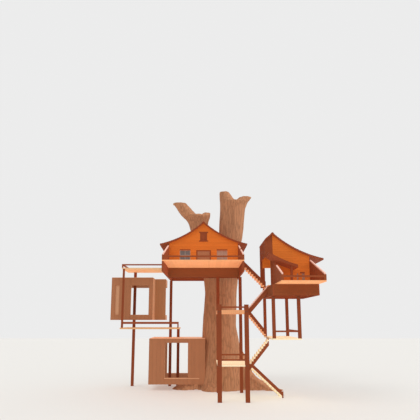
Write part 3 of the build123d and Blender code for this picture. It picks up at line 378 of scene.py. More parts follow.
# Node groups, shared by the materials
def grain_group():
    """Wood figure: a colour made lighter and darker by streaks drawn out along the grain."""
    group, given = new_group(
        "wood_grain", dict(Colour="Color", Stretch="Vector", Contrast="Float", Tone="Float"),
        dict(Colour="Color", Height="Float", Roughness="Float"))
    place = here(group)
    streaks = noise(group, vector_node(group, "MULTIPLY", place, given["Stretch"]), 1.0, 5.0, 0.6)["Fac"]
    clouds = math_node(group, "MULTIPLY", noise(group, place, 0.45)["Fac"], 0.35)
    both = math_node(group, "MULTIPLY_ADD", streaks, 0.65, clouds)
    swing = math_node(group, "MULTIPLY", math_node(group, "SUBTRACT", both, 0.5), given["Contrast"])
    level = math_node(group, "ADD", math_node(group, "ADD", swing, given["Tone"]), 1.0)
    return send(group, Colour=scaled(group, given["Colour"], level), Height=streaks,
                Roughness=remap(group, streaks, 0.0, 1.0, 0.62, 0.86))


def fade_group():
    """Weathering: patches where a colour goes over to a faded one."""
    group, given = new_group("weather_patches", dict(Colour="Color", Faded="Color", Amount="Float"),
                             dict(Colour="Color"))
    patch = remap(group, noise(group, here(group), 1.7, 4.0, 0.65)["Fac"], 0.46, 0.72)
    mask = math_node(group, "MULTIPLY", patch, given["Amount"])
    return send(group, Colour=blend(group, mask, given["Colour"], given["Faded"]))


def joint_group():
    """Board joints: a mask that is 1 in narrow lines at an even pitch along an axis."""
    group, given = new_group("board_joints", dict(Axis="Vector", Pitch="Float", Line="Float"),
                             dict(Mask="Float"))
    run = put(group, "VectorMath", {0: here(group), 1: given["Axis"]}, operation="DOT_PRODUCT")["Value"]
    share = math_node(group, "FRACT", math_node(group, "DIVIDE", run, given["Pitch"]))
    edge = math_node(group, "ABSOLUTE", math_node(group, "SUBTRACT", share, 0.5))
    return send(group, Mask=remap(group, edge, math_node(group, "SUBTRACT", 0.5, given["Line"]), 0.5))


def bark_group():
    """Bark: long upright plates split by furrows, from stretched cells and streaks."""
    group, given = new_group("bark_relief", dict(Colour="Color", Furrow="Color"),
                             dict(Colour="Color", Height="Float"))
    drawn = vector_node(group, "MULTIPLY", here(group), BARK_STRETCH)
    bent = vector_node(group, "ADD", drawn, noise(group, drawn, 1.3, 4.0)["Color"])
    cells = put(group, "TexVoronoi", {"Vector": bent, "Scale": 1.0}, feature="DISTANCE_TO_EDGE")["Distance"]
    plates = remap(group, cells, 0.0, 0.16)
    streaks = noise(group, drawn, 4.5, 6.0)["Fac"]
    mixed = blend(group, plates, given["Furrow"], given["Colour"])
    return send(group, Colour=scaled(group, mixed, math_node(group, "MULTIPLY_ADD", streaks, 0.24, 0.88)),
                Height=math_node(group, "MULTIPLY_ADD", streaks, 0.35, plates))


GRAIN, FADE, JOINTS, BARK = grain_group(), fade_group(), joint_group(), bark_group()

# How the grain's noise is squeezed along each axis, and the axes that joints follow each other on
ALONG = {"x": (0.7, 13.0, 13.0), "y": (13.0, 0.7, 13.0), "z": (13.0, 13.0, 0.7)}
AXES = {"x": (1.0, 0.0, 0.0), "y": (0.0, 1.0, 0.0)}
JOINT_LINE = 0.03
JOINT_DARK = 0.55


def finish(name, roughness=0.8, gloss=0.15):
    """A new material, its node tree and its shader."""
    material = bpy.data.materials.new(name)
    material.use_nodes = True
    shader = material.node_tree.nodes["Principled BSDF"]
    shader.inputs["Roughness"].default_value = roughness
    shader.inputs["Specular IOR Level"].default_value = gloss
    return material, material.node_tree, shader


def dress(tree, shader, colour, height, strength, depth):
    """Link a colour to the shader, and bump from a height."""
    tree.links.new(colour, shader.inputs["Base Color"])
    bump = put(tree, "Bump", {"Height": height, "Strength": strength, "Distance": depth})
    tree.links.new(bump[0], shader.inputs["Normal"])


def wood(name, colour, along, contrast=0.30, faded=None, amount=0.0, joints=None, lower=None):
    """Wood with its grain along an axis, faded patches, board joints and a second colour low down."""
    material, tree, shader = finish(name)
    base = linear(colour)
    if lower:
        z = put(tree, "SeparateXYZ", {0: here(tree)})[2]
        base = blend(tree, math_node(tree, "LESS_THAN", z, lower[1]), base, linear(lower[0]))
    tone = put(tree, "Attribute", attribute_name="tone")["Fac"]
    figure = put(tree, "Group", {"Colour": base, "Stretch": ALONG[along], "Contrast": contrast, "Tone": tone},
                 node_tree=GRAIN)
    shown, height = figure["Colour"], figure["Height"]
    if faded:
        shown = put(tree, "Group", {"Colour": shown, "Faded": linear(faded), "Amount": amount},
                    node_tree=FADE)["Colour"]
    if joints:
        mask = put(tree, "Group", {"Axis": AXES[joints[0]], "Pitch": joints[1], "Line": JOINT_LINE},
                   node_tree=JOINTS)["Mask"]
        shown = blend(tree, mask, shown, scaled(tree, shown, JOINT_DARK))
        height = math_node(tree, "SUBTRACT", height, math_node(tree, "MULTIPLY", mask, 2.0))
    tree.links.new(figure["Roughness"], shader.inputs["Roughness"])
    dress(tree, shader, shown, height, 0.35, 0.006)
    return material


def bark_material():
    """The trunk's bark, brown with slightly darker furrows and lighter patches."""
    material, tree, shader = finish("bark", 0.9)
    plates = put(tree, "Group", {"Colour": linear(TRUNK_BROWN), "Furrow": linear(shade(TRUNK_BROWN, 0.86))},
                 node_tree=BARK)
    patches = put(tree, "Group", {"Colour": plates["Colour"], "Faded": linear(shade(TRUNK_BROWN, 1.07)),
                                  "Amount": 0.6}, node_tree=FADE)
    dress(tree, shader, patches["Colour"], plates["Height"], 0.55, 0.03)
    return material


def cut_material():
    """Sawn end of a bough: growth rings, a sine of the piece's own ring measure that wanders a little."""
    material, tree, shader = finish("sawn_end", 0.8)
    growth = put(tree, "Attribute", attribute_name="growth")["Fac"]
    wander = math_node(tree, "MULTIPLY", noise(tree, here(tree), 2.5)["Fac"], 6.0)
    rings = math_node(tree, "SINE", math_node(tree, "MULTIPLY_ADD", growth, 75.0, wander))
    share = remap(tree, rings, -1.0, 1.0)
    colour = blend(tree, share, linear(shade(CUT_WOOD, 0.82)), linear(CUT_WOOD))
    dress(tree, shader, colour, share, 0.3, 0.006)
    return material


def window_material(name, split_x, left_colour, right_colour, roughness, gloss):
    """A window finish: one grey left of split_x and another right of it, with soft clouds in both. It is
    painted: the panes let nothing through, so the left grey is a painted view of the dark grey behind the
    left window, the warm grey a painted view of the trunk behind the right one, and the clouds are painted
    glints.
    """
    material, tree, shader = finish(name, roughness, gloss)
    place = here(tree)
    right = math_node(tree, "GREATER_THAN", put(tree, "SeparateXYZ", {0: place})[0], split_x)
    base = blend(tree, right, linear(left_colour), linear(right_colour))
    level = math_node(tree, "MULTIPLY_ADD", noise(tree, place, 1.6)["Fac"], 0.5, 0.75)
    tree.links.new(scaled(tree, base, level), shader.inputs["Base Color"])
    return material


def steel_material():
    """Dull brushed steel."""
    material, tree, shader = finish("dull_steel", 0.45, 0.5)
    figure = put(tree, "Group", {"Colour": linear(STEEL_GREY), "Stretch": (60.0, 4.0, 60.0), "Contrast": 0.5,
                                 "Tone": 0.0}, node_tree=GRAIN)
    shader.inputs["Metallic"].default_value = 0.8
    dress(tree, shader, figure["Colour"], figure["Height"], 0.2, 0.001)
    return material


# Meshes
def clean(mesh, merge):
    """Merge the doubles of closed shells, and turn their faces outwards."""
    work = bmesh.new()
    work.from_mesh(mesh)
    bmesh.ops.remove_doubles(work, verts=work.verts, dist=merge)
    bmesh.ops.recalc_face_normals(work, faces=work.faces)
    work.to_mesh(mesh)
    work.free()


def dressed_piece(name, mesh, material, body, smooth):
    """A piece from its finished mesh, riding on a body."""
    mesh.materials.append(material)
    mesh.polygons.foreach_set("use_smooth", np.full(len(mesh.polygons), smooth))
    piece = add_object(name, mesh)
    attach(piece, body)
    return piece


def mesh_piece(name, points, faces, material, slot, body="house", values=None, smooth=False):
    """A piece from the points and faces of closed shells. values are numbers per point by name."""
    mesh = bpy.data.meshes.new(name)
    mesh.from_pydata(np.asarray(points, float), [], np.asarray(faces).tolist())
    for label, numbers in (values or {}).items():
        mesh.attributes.new(label, "FLOAT", "POINT").data.foreach_set("value", np.asarray(numbers, float))
    clean(mesh, 1e-6)
    return dressed_piece(name, mesh, material, body, smooth)


def joined(meshes):
    """Points and faces of several meshes as one; each mesh starts with its points and faces."""
    starts = np.cumsum([0] + [len(m[0]) for m in meshes[:-1]])
    return (np.concatenate([m[0] for m in meshes]),
            np.concatenate([m[1] + start for m, start in zip(meshes, starts)]))


def grid_faces(rows, columns, looped=False):
    """Quads of a grid whose last column joins its first, and where it is looped its last row too."""
    index = np.arange(rows * columns).reshape(rows, columns)
    if looped:
        index = np.concatenate([index, index[:1]])
    after = np.roll(index, -1, axis=1)
    return np.stack([index[:-1], after[:-1], after[1:], index[1:]], axis=-1).reshape(-1, 4)


def full_turn(count):
    """Even angles round a circle."""
    return np.linspace(0, 2 * np.pi, count, endpoint=False)


def surface(axis, way):
    """What makes flat surfaces across an axis, at a level, that face one way along it: u and v run
    along the other two axes in their order, and w stands off the surface."""
    def at(level):
        def place(u, v, w):
            point = [u, v]
            point.insert(axis, level + way * w)
            return point
        return place
    return at


on_right, on_left = surface(0, 1), surface(0, -1)
on_front, on_back = surface(1, -1), surface(1, 1)
on_top = surface(2, 1)
SLAB_FACES = np.array(
    [(r + k, r + (k + 1) % 4, r + 4 + (k + 1) % 4, r + 4 + k) for r in (0, 4) for k in range(4)]
    + [(3, 2, 1, 0), (8, 9, 10, 11)])


def slab_mesh(quads, lift, place, back=0.0, ease=BOARD_EASE):
    """Points, faces and tones of four-cornered slabs with eased edges.

    A corner is (u, v) on a surface, and place(u, v, w) is the point that stands w off it. A slab
    has three rings of corners: its back at w = -back, its rim at w = lift - ease, and its face at
    w = lift, drawn in towards the slab's middle by the ease. Each slab has one tone, by chance.
    """
    quads = np.asarray(quads, float)
    count = len(quads)
    lift = np.broadcast_to(np.asarray(lift, float), (count, 4))
    inward = quads.mean(axis=1, keepdims=True) - quads
    inner = quads + np.sign(inward) * np.minimum(ease, 0.4 * np.abs(inward))
    rings = np.stack([quads, quads, inner], axis=1)
    off = np.stack([np.full((count, 4), -back), lift - ease, lift], axis=1)
    points = np.stack(place(rings[..., 0], rings[..., 1], off), axis=-1).reshape(-1, 3)
    faces = (SLAB_FACES[None] + 12 * np.arange(count)[:, None, None]).reshape(-1, 4)
    tones = np.repeat(LUCK.uniform(-0.5, 0.5, count), 12)
    return points, faces, tones


def slabs(name, parts, material, slot, spread=0.10, body="house", ease=BOARD_EASE, rim=0.0):
    """One piece from several sets of slabs, each (quads, lift, place) or (quads, lift, place, back).
    Tones vary by spread, and a slab's edges are darker by rim."""
    meshes = [slab_mesh(*part, ease=ease) for part in parts if len(part[0])]
    tones = np.concatenate([m[2] for m in meshes]) * spread
    tones.reshape(-1, 3, 4)[:, :2] -= rim
    return mesh_piece(name, *joined(meshes), material, slot, body, {"tone": tones})


def rectangle(u0, u1, v0, v1):
    """One rectangle's corners."""
    return [(u0, v0), (u1, v0), (u1, v1), (u0, v1)]


def board(place, lift, u0, u1, v0, v1, back=0.0):
    """A set of one board: its rectangle on a surface, its lift and its back."""
    return [rectangle(u0, u1, v0, v1)], lift, place, back


def planks(u0, u1, low, top, wide=PLANK_WIDE, gap=PLANK_GAP):
    """Boards side by side in u, with even widths near the one wished for, from low to top(u)."""
    count = max(1, round((u1 - u0) / wide))
    edge = np.linspace(u0, u1, count + 1)
    end = top if callable(top) else lambda u: top
    return [[(a + gap / 2, low), (b - gap / 2, low), (b - gap / 2, end(b)), (a + gap / 2, end(a))]
            for a, b in zip(edge, edge[1:])]


def arc_through(a, b, c):
    """Centre, radius, and first and last angle of the circle through three points.

    Its centre is where the perpendiculars of the chords from the first point meet.
    """
    a, b, c = np.array([a, b, c], float)
    chords = np.array([b - a, c - a])
    middles = np.array([(b @ b - a @ a) / 2, (c @ c - a @ a) / 2])
    centre = np.linalg.solve(chords, middles)
    start, end = [math.atan2(*(p - centre)[::-1]) for p in (a, c)]
    return centre, np.hypot(*(a - centre)), start, end


def run_at(below_ridge):
    """How far out the underside of the roof is at a depth below the ridge, along the slope's arc."""
    centre, radius, start, end = arc_through(*SLOPE)
    turn = np.linspace(start, end, 80)
    runs, levels = centre[0] + radius * np.cos(turn), centre[1] - ROOF_THICK + radius * np.sin(turn)
    return float(np.interp(-below_ridge, levels[::-1], runs[::-1]))


def on_slope(ridge_x, ridge_z, side, curve=SLOPE):
    """Surface of a hollow slope: u is the length down from its top, v runs back, w stands off it.

    The length over the radius is the angle, and a point is the centre plus the radius, less w,
    times that angle's cosine and sine.
    """
    centre, radius, start, _ = arc_through(*curve)

    def place(u, v, w):
        turn = start + u / radius
        reach = radius - w
        x = ridge_x + side * (centre[0] + reach * np.cos(turn))
        return x, v, ridge_z + centre[1] + reach * np.sin(turn)
    return place


def near_tree(x, y, z, margin):
    """Whether points are inside the fork's limbs, grown by a margin."""
    x, y, z = np.broadcast_arrays(x, y, z)
    hit = np.zeros(x.shape, bool)
    for sections in (TRUNK, BOUGH, LIMB):
        level, cx, cy, half = np.array(sections, float).T
        reach = np.interp(z, level, half) + margin
        away = np.hypot(x - np.interp(z, level, cx), (y - np.interp(z, level, cy)) / TREE_DEPTH)
        hit |= (away < reach) & (z >= level[0]) & (z <= level[-1])
    return hit


def cut_round(course, u0, u1, hole_low, hole_high):
    """A course's parts beside, below and above an opening, or the whole course where it passes by.

    A course is its left edge at its foot and top, its right edge at its foot and top, and both heights.
    """
    a, b, c, d, foot, top = course
    if hole_low >= top or hole_high <= foot or u0 >= max(c, d) or u1 <= min(a, b):
        return [course]
    parts = [(a, b, min(c, u0), min(d, u0), foot, top), (max(a, u1), max(b, u1), c, d, foot, top)]
    between = (max(a, u0), max(b, u0), min(c, u1), min(d, u1))
    if hole_low > foot:
        parts.append((*between, foot, hole_low))
    if hole_high < top:
        parts.append((*between, hole_high, top))
    return parts


def siding(low, high, left, right, holes):
    """Lapped courses between two heights: their corners and how far each corner stands off the wall.

    left and right give the wall's edges at a height, and holes are (u0, u1, v0, v1). A course
    stands off by the thin edge, plus the lap where it is lowest, falling evenly to nothing.
    """
    levels = [*np.arange(low, high - 0.02, SIDING_PITCH), high]
    quads, lifts = [], []
    for foot, top in zip(levels, levels[1:]):
        parts = [(left(foot), left(top), right(foot), right(top), foot, top)]
        for hole in holes:
            parts = [piece for part in parts for piece in cut_round(part, *hole)]
        for a, b, c, d, v0, v1 in parts:
            if c - a > LEAST_BOARD and d - b > -0.02 and v1 - v0 > 0.01:
                quads.append([(a, v0), (c, v0), (max(d, b + 0.002), v1), (b, v1)])
                off = [SIDING_THIN + SIDING_LAP * (1 - (v - foot) / SIDING_PITCH) for v in (v0, v1)]
                lifts.append([off[0], off[0], off[1], off[1]])
    return quads, np.array(lifts)


def limb_tube(sections, deep=1.0, step=0.16, columns=56):
    """A closed tube round a limb's sections: rows up its height, columns round it.

    Centre and half width run straight between the sections, and each row is then averaged with
    its neighbours. The first and last rows shrink to the middle, which closes the ends. Its depth
    is a share of its width, and that share is deep times larger at the foot.
    """
    level, cx, cy, half = np.array(sections, float).T
    rows = np.linspace(level[0], level[-1], max(8, int((level[-1] - level[0]) / step)))
    weights = np.hanning(7)[1:-1] / np.hanning(7)[1:-1].sum()
    curves = []
    for values in (cx, cy, half):
        line = np.interp(rows, level, values)
        curves.append(np.convolve(np.pad(line, 2, mode="reflect", reflect_type="odd"), weights, "valid"))
    x, y, reach = [np.concatenate([c[:1], c, c[-1:]])[:, None] for c in curves]
    z = np.concatenate([rows[:1], rows, rows[-1:]])[:, None]
    reach[[0, -1]] = 0.001
    depth = TREE_DEPTH * reach * np.linspace(deep, 1.0, len(reach))[:, None]
    turn = full_turn(columns)[None]
    points = np.stack([x + reach * np.cos(turn), y + depth * np.sin(turn), z + 0 * turn], axis=-1)
    return points.reshape(-1, 3), grid_faces(len(z), columns)


def flutes(points):
    """How far the bark stands out at each point: broad upright swells and finer furrows.

    Each is a product of sines in x and y that wander slowly with the height.
    """
    x, y, z = points.T
    swell = np.sin(5.2 * x + 1.1 * np.sin(0.7 * z)) * np.sin(5.6 * y + 0.9 * np.cos(0.6 * z))
    furrow = np.sin(13 * x + 0.8 * z) * np.sin(12 * y - 0.7 * z + np.sin(1.9 * z))
    return BARK_FLUTE * swell + BARK_FURROW * furrow


def tree_surface(material):
    """The whole tree in one skin: its limbs are fused by a voxel remesh, smoothed, and moved
    out along their normals by the bark's flutes."""
    tubes = [limb_tube(s) for s in (TRUNK, *ROOTS, BOUGH, LIMB, *CROWNS)]
    points, faces = joined(tubes + [limb_tube(s, deep) for s, deep in zip(STUBS, STUB_DEPTHS)])
    raw = bpy.data.meshes.new("tree_raw")
    raw.from_pydata(points, [], faces.tolist())
    clean(raw, 0.004)
    holder = add_object("tree_raw", raw)
    remesh = holder.modifiers.new("fuse", "REMESH")
    remesh.mode = "VOXEL"
    remesh.voxel_size = BARK_VOXEL
    smooth = holder.modifiers.new("even", "SMOOTH")
    smooth.factor = 0.5
    smooth.iterations = BARK_SMOOTHING
    bpy.context.view_layer.update()
    skin = bpy.data.meshes.new_from_object(holder.evaluated_get(bpy.context.evaluated_depsgraph_get()))
    bpy.data.objects.remove(holder)
    points, normals = np.empty((2, len(skin.vertices) * 3))
    skin.vertices.foreach_get("co", points)
    skin.vertices.foreach_get("normal", normals)
    points = points.reshape(-1, 3)
    points = points + normals.reshape(-1, 3) * flutes(points)[:, None]
    points[:, 2] = np.maximum(points[:, 2], 0.0)
    skin.vertices.foreach_set("co", points.ravel())
    skin.name = "tree_bark"
    piece = dressed_piece("tree_bark", skin, material, "house", True)
    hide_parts("trunk", "left_bough", "right_limb")


def sawn_ends(material):
    """The sawn ends of the four boughs: slightly domed discs, each a profile carried round."""
    profile = np.array([(0.0, -0.14), (0.90, -0.14), (0.96, -0.05), (0.94, 0.0), (0.90, 0.012),
                        (0.6, 0.022), (0.3, 0.028), (0.0, 0.03)])
    turn = full_turn(48)[None]
    discs = []
    for i, stub in enumerate(STUBS):
        z, x, y, half = stub[-1]
        reach = profile[:, :1] * half * (1 + 0.025 * np.sin(5 * turn + i))
        ring = np.stack([x + reach * np.cos(turn), y + TREE_DEPTH * reach * np.sin(turn),
                         z - 0.03 + profile[:, 1:] + 0 * turn], axis=-1)
        discs.append((ring.reshape(-1, 3), grid_faces(len(profile), turn.size)))
    growth = np.tile(np.repeat(profile[:, 0], turn.size), len(STUBS))
    mesh_piece("sawn_ends", *joined(discs), material, "bark", values={"growth": growth}, smooth=True)


def bolt_heads(name, places, material):
    """Six-sided bolt heads on round washers that look to the front, at the points where they sit:
    a profile of radii and lifts carried round an axis."""
    profile = BOLT_RADIUS * np.array(
        [(0, 0), (1.7, 0), (1.7, 0.12), (1, 0.14), (1, 0.62), (0.8, 0.74), (0, 0.74)])
    turn, reach, off = full_turn(6), profile[:, :1], profile[:, 1:]
    one = np.stack([reach * np.cos(turn), 0 * turn - off, reach * np.sin(turn)], axis=-1).reshape(-1, 3)
    heads = [(one + place, grid_faces(len(profile), 6)) for place in places]
    mesh_piece(name, *joined(heads), material, "steel")


def ring_handle(name, x, y, z, material):
    """A ring pull: a round bar carried round a circle, below a plate."""
    turn, bar = full_turn(32)[:, None], full_turn(10)[None]
    reach = RING_RADIUS + RING_BAR * np.cos(bar)
    points = np.stack([x + reach * np.cos(turn), y - 0.022 + RING_BAR * np.sin(bar) + 0 * turn,
                       z + reach * np.sin(turn)], axis=-1)
    mesh_piece(name, points.reshape(-1, 3), grid_faces(32, 10, looped=True), material, "steel", body="door",
               smooth=True)


# Camera, light and floor
def setup_camera():
    """The camera at the photograph's viewing angle."""
    data = bpy.data.cameras.new("photo_camera")
    data.sensor_width = SENSOR_MM
    data.lens = SENSOR_MM * FOCAL_SHARE
    data.shift_x = SHIFT_X
    data.clip_end = 500
    camera = add_object("photo_camera", data)
    camera.location = CAMERA_PLACE
    camera.rotation_euler = (math.radians(90 + CAMERA_PITCH_DEG), 0, 0)
    bpy.context.scene.camera = camera


def setup_light():
    """An even sky, a broad key from the upper right, a bounce from below and a soft fill."""
    scene = bpy.context.scene
    scene.view_settings.view_transform = "Standard"
    scene.world = bpy.data.worlds.new("studio")
    scene.world.use_nodes = True
    tree = scene.world.node_tree
    sky = tree.nodes["Background"].inputs
    sky["Color"].default_value = (1, 1, 1, 1)
    path = put(tree, "LightPath")
    seen = math_node(tree, "MAXIMUM", path["Is Camera Ray"], path["Is Glossy Ray"])
    tree.links.new(remap(tree, seen, 0.0, 1.0, WORLD_STRENGTH, BACKDROP_STRENGTH), sky["Strength"])
    for name, (x, y, z), power, shadows in SUNS:
        lamp = bpy.data.lights.new(name, "SUN")
        lamp.energy = power
        lamp.use_shadow = shadows
        lamp.angle = math.radians(SUN_SOFT_DEG)
        sun = add_object(name, lamp)
        sun.location = (SUN_FAR * x, SUN_FAR * y, SUN_FAR * z)
        sun.rotation_euler = (math.atan2(math.hypot(x, y), z), 0, math.atan2(x, -y))


def setup_floor():
    """A plain pale floor."""
    material, _, shader = finish("floor", 0.9)
    shader.inputs["Base Color"].default_value = linear(FLOOR_PALE)
    mesh = bpy.data.meshes.new("floor")
    corners = rectangle(-FLOOR_SIDE, FLOOR_SIDE, -FLOOR_SIDE, FLOOR_SIDE)
    mesh.from_pydata([(x, y, 0) for x, y in corners], [], [(0, 1, 2, 3)])
    mesh.materials.append(material)
    add_object("floor", mesh)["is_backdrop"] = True


setup_camera()
setup_light()
setup_floor()

# Where the cabins stand
CABIN = box("main_front_gable")
CABIN_X = (CABIN[0][0] + CABIN[1][0]) / 2
WALL_FRONT_Y = CABIN[0][1]
MAIN_FLOOR_Z = box("main_porch_deck")[1][2]
MAIN_RIDGE = (CABIN_X, box("main_roof_left")[1][2])
HALF = box("half_front_wall")
HALF_FLOOR_Z = box("half_porch_deck")[1][2]
HALF_RIDGE = (HALF[0][0], box("half_roof")[1][2])

# Materials
BARK_SKIN = bark_material()
SAWN = cut_material()
STEEL = steel_material()
ORANGE_X = wood("orange_boards", ORANGE, "x", 0.36)
DARK_X = wood("timber_wide", RED_BROWN, "x", 0.60)
DARK_Y = wood("timber_deep", RED_BROWN, "y", 0.60)
DARK_Z = wood("timber_upright", RED_BROWN, "z", 0.60)
POST_WOOD = wood("post_timber", POST_BROWN, "z", 0.60)
SHINGLES = wood("shingles", SHINGLE_BROWN, "x", 0.55, shade(SHINGLE_BROWN, 0.9), 0.6)
ROOF_TIMBER = wood("roof_timber", SHINGLE_BROWN, "x", 0.55, joints=("y", ROOF_BOARD))
BASE_WOOD = wood("base_boards", BASE_BROWN, "y", 0.60)
HALF_BASE_WOOD = wood("half_base_boards", HALF_BASE_BROWN, "y", 0.60)
BAY_PAINTED_LIGHT_X = wood("bay_boards", BAY_ORANGE_PAINTED_LIGHT, "x", 0.36)
TAN_Y = wood("light_planks", TAN, "y", 0.28, joints=("x", PLANK_WIDE))
TAN_PLANK = wood("deck_planks", TAN, "y", 0.28)
WALKWAY_PLANK = wood("walkway_wood", WALKWAY_TAN_PAINTED_LIGHT, "y", 0.30)
PALE_PLANK = wood("pale_planks", PALE_TAN, "y", 0.24)
WEATHERED_PLANK = wood("weathered_planks", WEATHERED, "y", 0.36)
TREAD_PAINTED_LIGHT_TAN = wood("tan_treads_painted_light", STEP_TAN_PAINTED_LIGHT, "y", 0.28)
TREAD_PALE = wood("pale_treads", PALE_TAN, "y", 0.26)
LANDING_WOOD = wood("landing_planks", LANDING_TAN, "y", 0.28, joints=("x", PLANK_WIDE),
                    lower=(PALE_TAN, LANDING_PALE_BELOW))
ROOM_WOOD = wood("room_boards", ROOM_BROWN, "z", 0.30)
RECESS_PAINTED_LIGHT_WOOD = wood("recess_painted_light_boards", RECESS_PAINTED_LIGHT_BROWN, "z", 0.30)
INNER_PAINTED_LIGHT_WOOD = wood("inner_painted_light_boards", INNER_PAINTED_LIGHT_BROWN, "z", 0.30)
ROOM_TOP_PAINTED_LIGHT_WOOD = wood("room_top_painted_light_boards", ROOM_TOP_PAINTED_LIGHT, "x", 0.24)
ROOM_PAINTED_LIGHT_WOOD = wood("room_painted_light_boards", ROOM_PAINTED_LIGHT, "x", 0.24)
DOOR_WOOD = wood("door_planks", DOOR_BROWN, "z", 0.45)
CAPPING_HIGHLIGHT = wood("string_capping_highlight", CAP_HIGHLIGHT_PINK, "x", 0.10)
CAP_RAIL_HIGHLIGHT = wood("cap_rail_painted_highlight", CAP_HIGHLIGHT_PINK, "y", 0.10, shade(CAP_HIGHLIGHT_PINK, 0.85), 0.4)
GLASS = window_material("window_panes_painted_view", CABIN_X, GLASS_PAINTED_VIEW_DARK, GLASS_PAINTED_VIEW_WARM, 0.12, 0.5)
GLASS_BARS = window_material("window_bars_painted_view", CABIN_X, BAR_GREY, BAR_PAINTED_VIEW_WARM, 0.5, 0.3)

# The solids' looks: by node, or else by the record's slot
NODE_LOOKS = [
    (DARK_Y, "main_side_beams half_side_beams main_side_walls half_side_wall"),
    (DARK_Z, "bay_screen main_porch_wings half_porch_wings main_door_frame main_attic_shutter"),
    (POST_WOOD, "tower_posts hanging_posts left_posts"),
    (ROOF_TIMBER, "main_roof_left main_roof_right half_roof half_awning"),
    (LANDING_WOOD, "stair_landings"),
    (TAN_Y, "main_floor half_floor"),
    (TAN_PLANK, "main_porch_deck half_porch_deck"),
    (WALKWAY_PLANK, "walkway_deck"),
    (PALE_PLANK, "hanging_platform"),
    (WEATHERED_PLANK, "lower_platform"),
    (TREAD_PAINTED_LIGHT_TAN, "flight_a_treads flight_b_treads flight_c_treads"),
    (TREAD_PALE, "flight_d_treads flight_e_treads"),
    (DOOR_WOOD, "main_door"),
    (CAP_RAIL_HIGHLIGHT, "porch_wing_caps"),
    (GLASS, "window_glass"),
    (STEEL, "tree_pegs"),
]
NODE_MATERIALS = {node: material for material, nodes in NODE_LOOKS for node in nodes.split()}
SLOT_MATERIALS = {"bark": BARK_SKIN, "carved_wood": ROOM_WOOD, "orange_boards": ORANGE_X,
                  "dark_boards": DARK_X, "dark_timber": DARK_X}
for sub in frame["record"]["subparts"]:
    node = NODES[sub["node"]]
    node.data.materials.clear()
    node.data.materials.append(NODE_MATERIALS.get(sub["node"]) or SLOT_MATERIALS[sub["material_slot"]])

tree_surface(BARK_SKIN)
sawn_ends(SAWN)


# Walls
def front_holes():
    """The main cabin's front openings as (u0, u1, v0, v1): the framed door, both windows and the shutter."""
    door_top = box("main_door_frame")[1][2]
    trim_low, trim_high = box("main_window_trim")
    shutter_low, shutter_high = box("main_attic_shutter")
    middles = (trim_low[0] + WINDOW_HALF, trim_high[0] - WINDOW_HALF)
    return [(CABIN_X - DOOR_FRAME_HALF, CABIN_X + DOOR_FRAME_HALF, MAIN_FLOOR_Z, door_top),
            *[(x - WINDOW_HALF, x + WINDOW_HALF, trim_low[2], trim_low[2] + WINDOW_HIGH) for x in middles],
            (shutter_low[0], shutter_high[0], shutter_low[2], shutter_high[2])]


def roof_edges(ridge, left_limit, right_limit):
    """A wall's left and right edge at a height: its own sides, or the underside of the roof."""
    return (lambda v: max(left_limit, ridge[0] - run_at(ridge[1] - v)),
            lambda v: min(right_limit, ridge[0] + run_at(ridge[1] - v)))


def own_edges(low, high):
    """A side wall's edges, the same at every height."""
    return lambda v: low[1], lambda v: high[1]


def clad(name, low, high, edges, places, material, slot, spread, holes=()):
    """Lapped siding between two heights on each surface of a wall."""
    quads, lift = siding(low, high, *edges, holes)
    slabs(name, [(quads, lift, place) for place in places], material, slot, spread, rim=RIM_SHADE)


HOLES = front_holes()
(main_top_z, eave_z), (half_top_z, half_eave_z) = [
    (z - ROOF_THICK - UNDER_ROOF, z - ROOF_THICK - EAVE_DROP) for _, z in (MAIN_RIDGE, HALF_RIDGE)]
back_low, back_high = box("main_back_wall")
side_low, side_high = box("main_side_walls")
clad("main_front_siding", MAIN_FLOOR_Z, main_top_z, roof_edges(MAIN_RIDGE, CABIN[0][0], CABIN[1][0]),
     [on_front(WALL_FRONT_Y)], ORANGE_X, "orange_boards", 0.08, HOLES)
clad("main_back_siding", MAIN_FLOOR_Z, main_top_z, roof_edges(MAIN_RIDGE, back_low[0], back_high[0]),
     [on_back(back_high[1])], DARK_X, "dark_boards", 0.12)
clad("main_side_siding", MAIN_FLOOR_Z, eave_z + SIDING_ABOVE_EAVE, own_edges(side_low, side_high),
     [on_left(side_low[0]), on_right(side_high[0])], DARK_Y, "dark_boards", 0.12)
slabs("main_corner_boards", [
    board(place, CORNER_LIFT, y, y + WALL, MAIN_FLOOR_Z, eave_z)
    for y in (WALL_FRONT_Y, side_high[1]) for place in (on_left(CABIN[0][0]), on_right(CABIN[1][0]))],
      DARK_Z, "dark_boards")

half_window = (*HALF_WINDOW_X, *[HALF_FLOOR_Z + rise for rise in HALF_WINDOW_RISE])
half_wall_y = HALF[0][1]
back_low, back_high = box("half_back_wall")
side_low, side_high = box("half_side_wall")
clad("half_front_siding", HALF_FLOOR_Z, half_top_z, roof_edges(HALF_RIDGE, HALF[0][0], HALF[1][0]),
     [on_front(half_wall_y)], ORANGE_X, "orange_boards", 0.08, [half_window])
bay_wall = on_front(back_low[1])
# The wall inside the bay is clad in the lighter orange, painted light that offsets the shade there.
for name, place, material in (("half_back_siding", on_back(back_high[1]), ORANGE_X),
                              ("bay_inner_siding_painted_light", bay_wall, BAY_PAINTED_LIGHT_X)):
    clad(name, HALF_FLOOR_Z, half_top_z, roof_edges(HALF_RIDGE, back_low[0], back_high[0]),
         [place], material, "orange_boards", 0.08, [(*BAY_DOOR_X, HALF_FLOOR_Z, BAY_DOOR_TOP)])
clad("half_side_siding", HALF_FLOOR_Z, side_high[2] - HALF_SIDE_BELOW_TOP, own_edges(side_low, side_high),
     [on_right(side_high[0])], DARK_Y, "dark_boards", 0.12)
slabs("half_corner_boards", [
    board(on_right(HALF[1][0]), CORNER_LIFT, y, y + WALL, HALF_FLOOR_Z, half_eave_z)
    for y in (half_wall_y, side_high[1])], DARK_Z, "dark_boards")

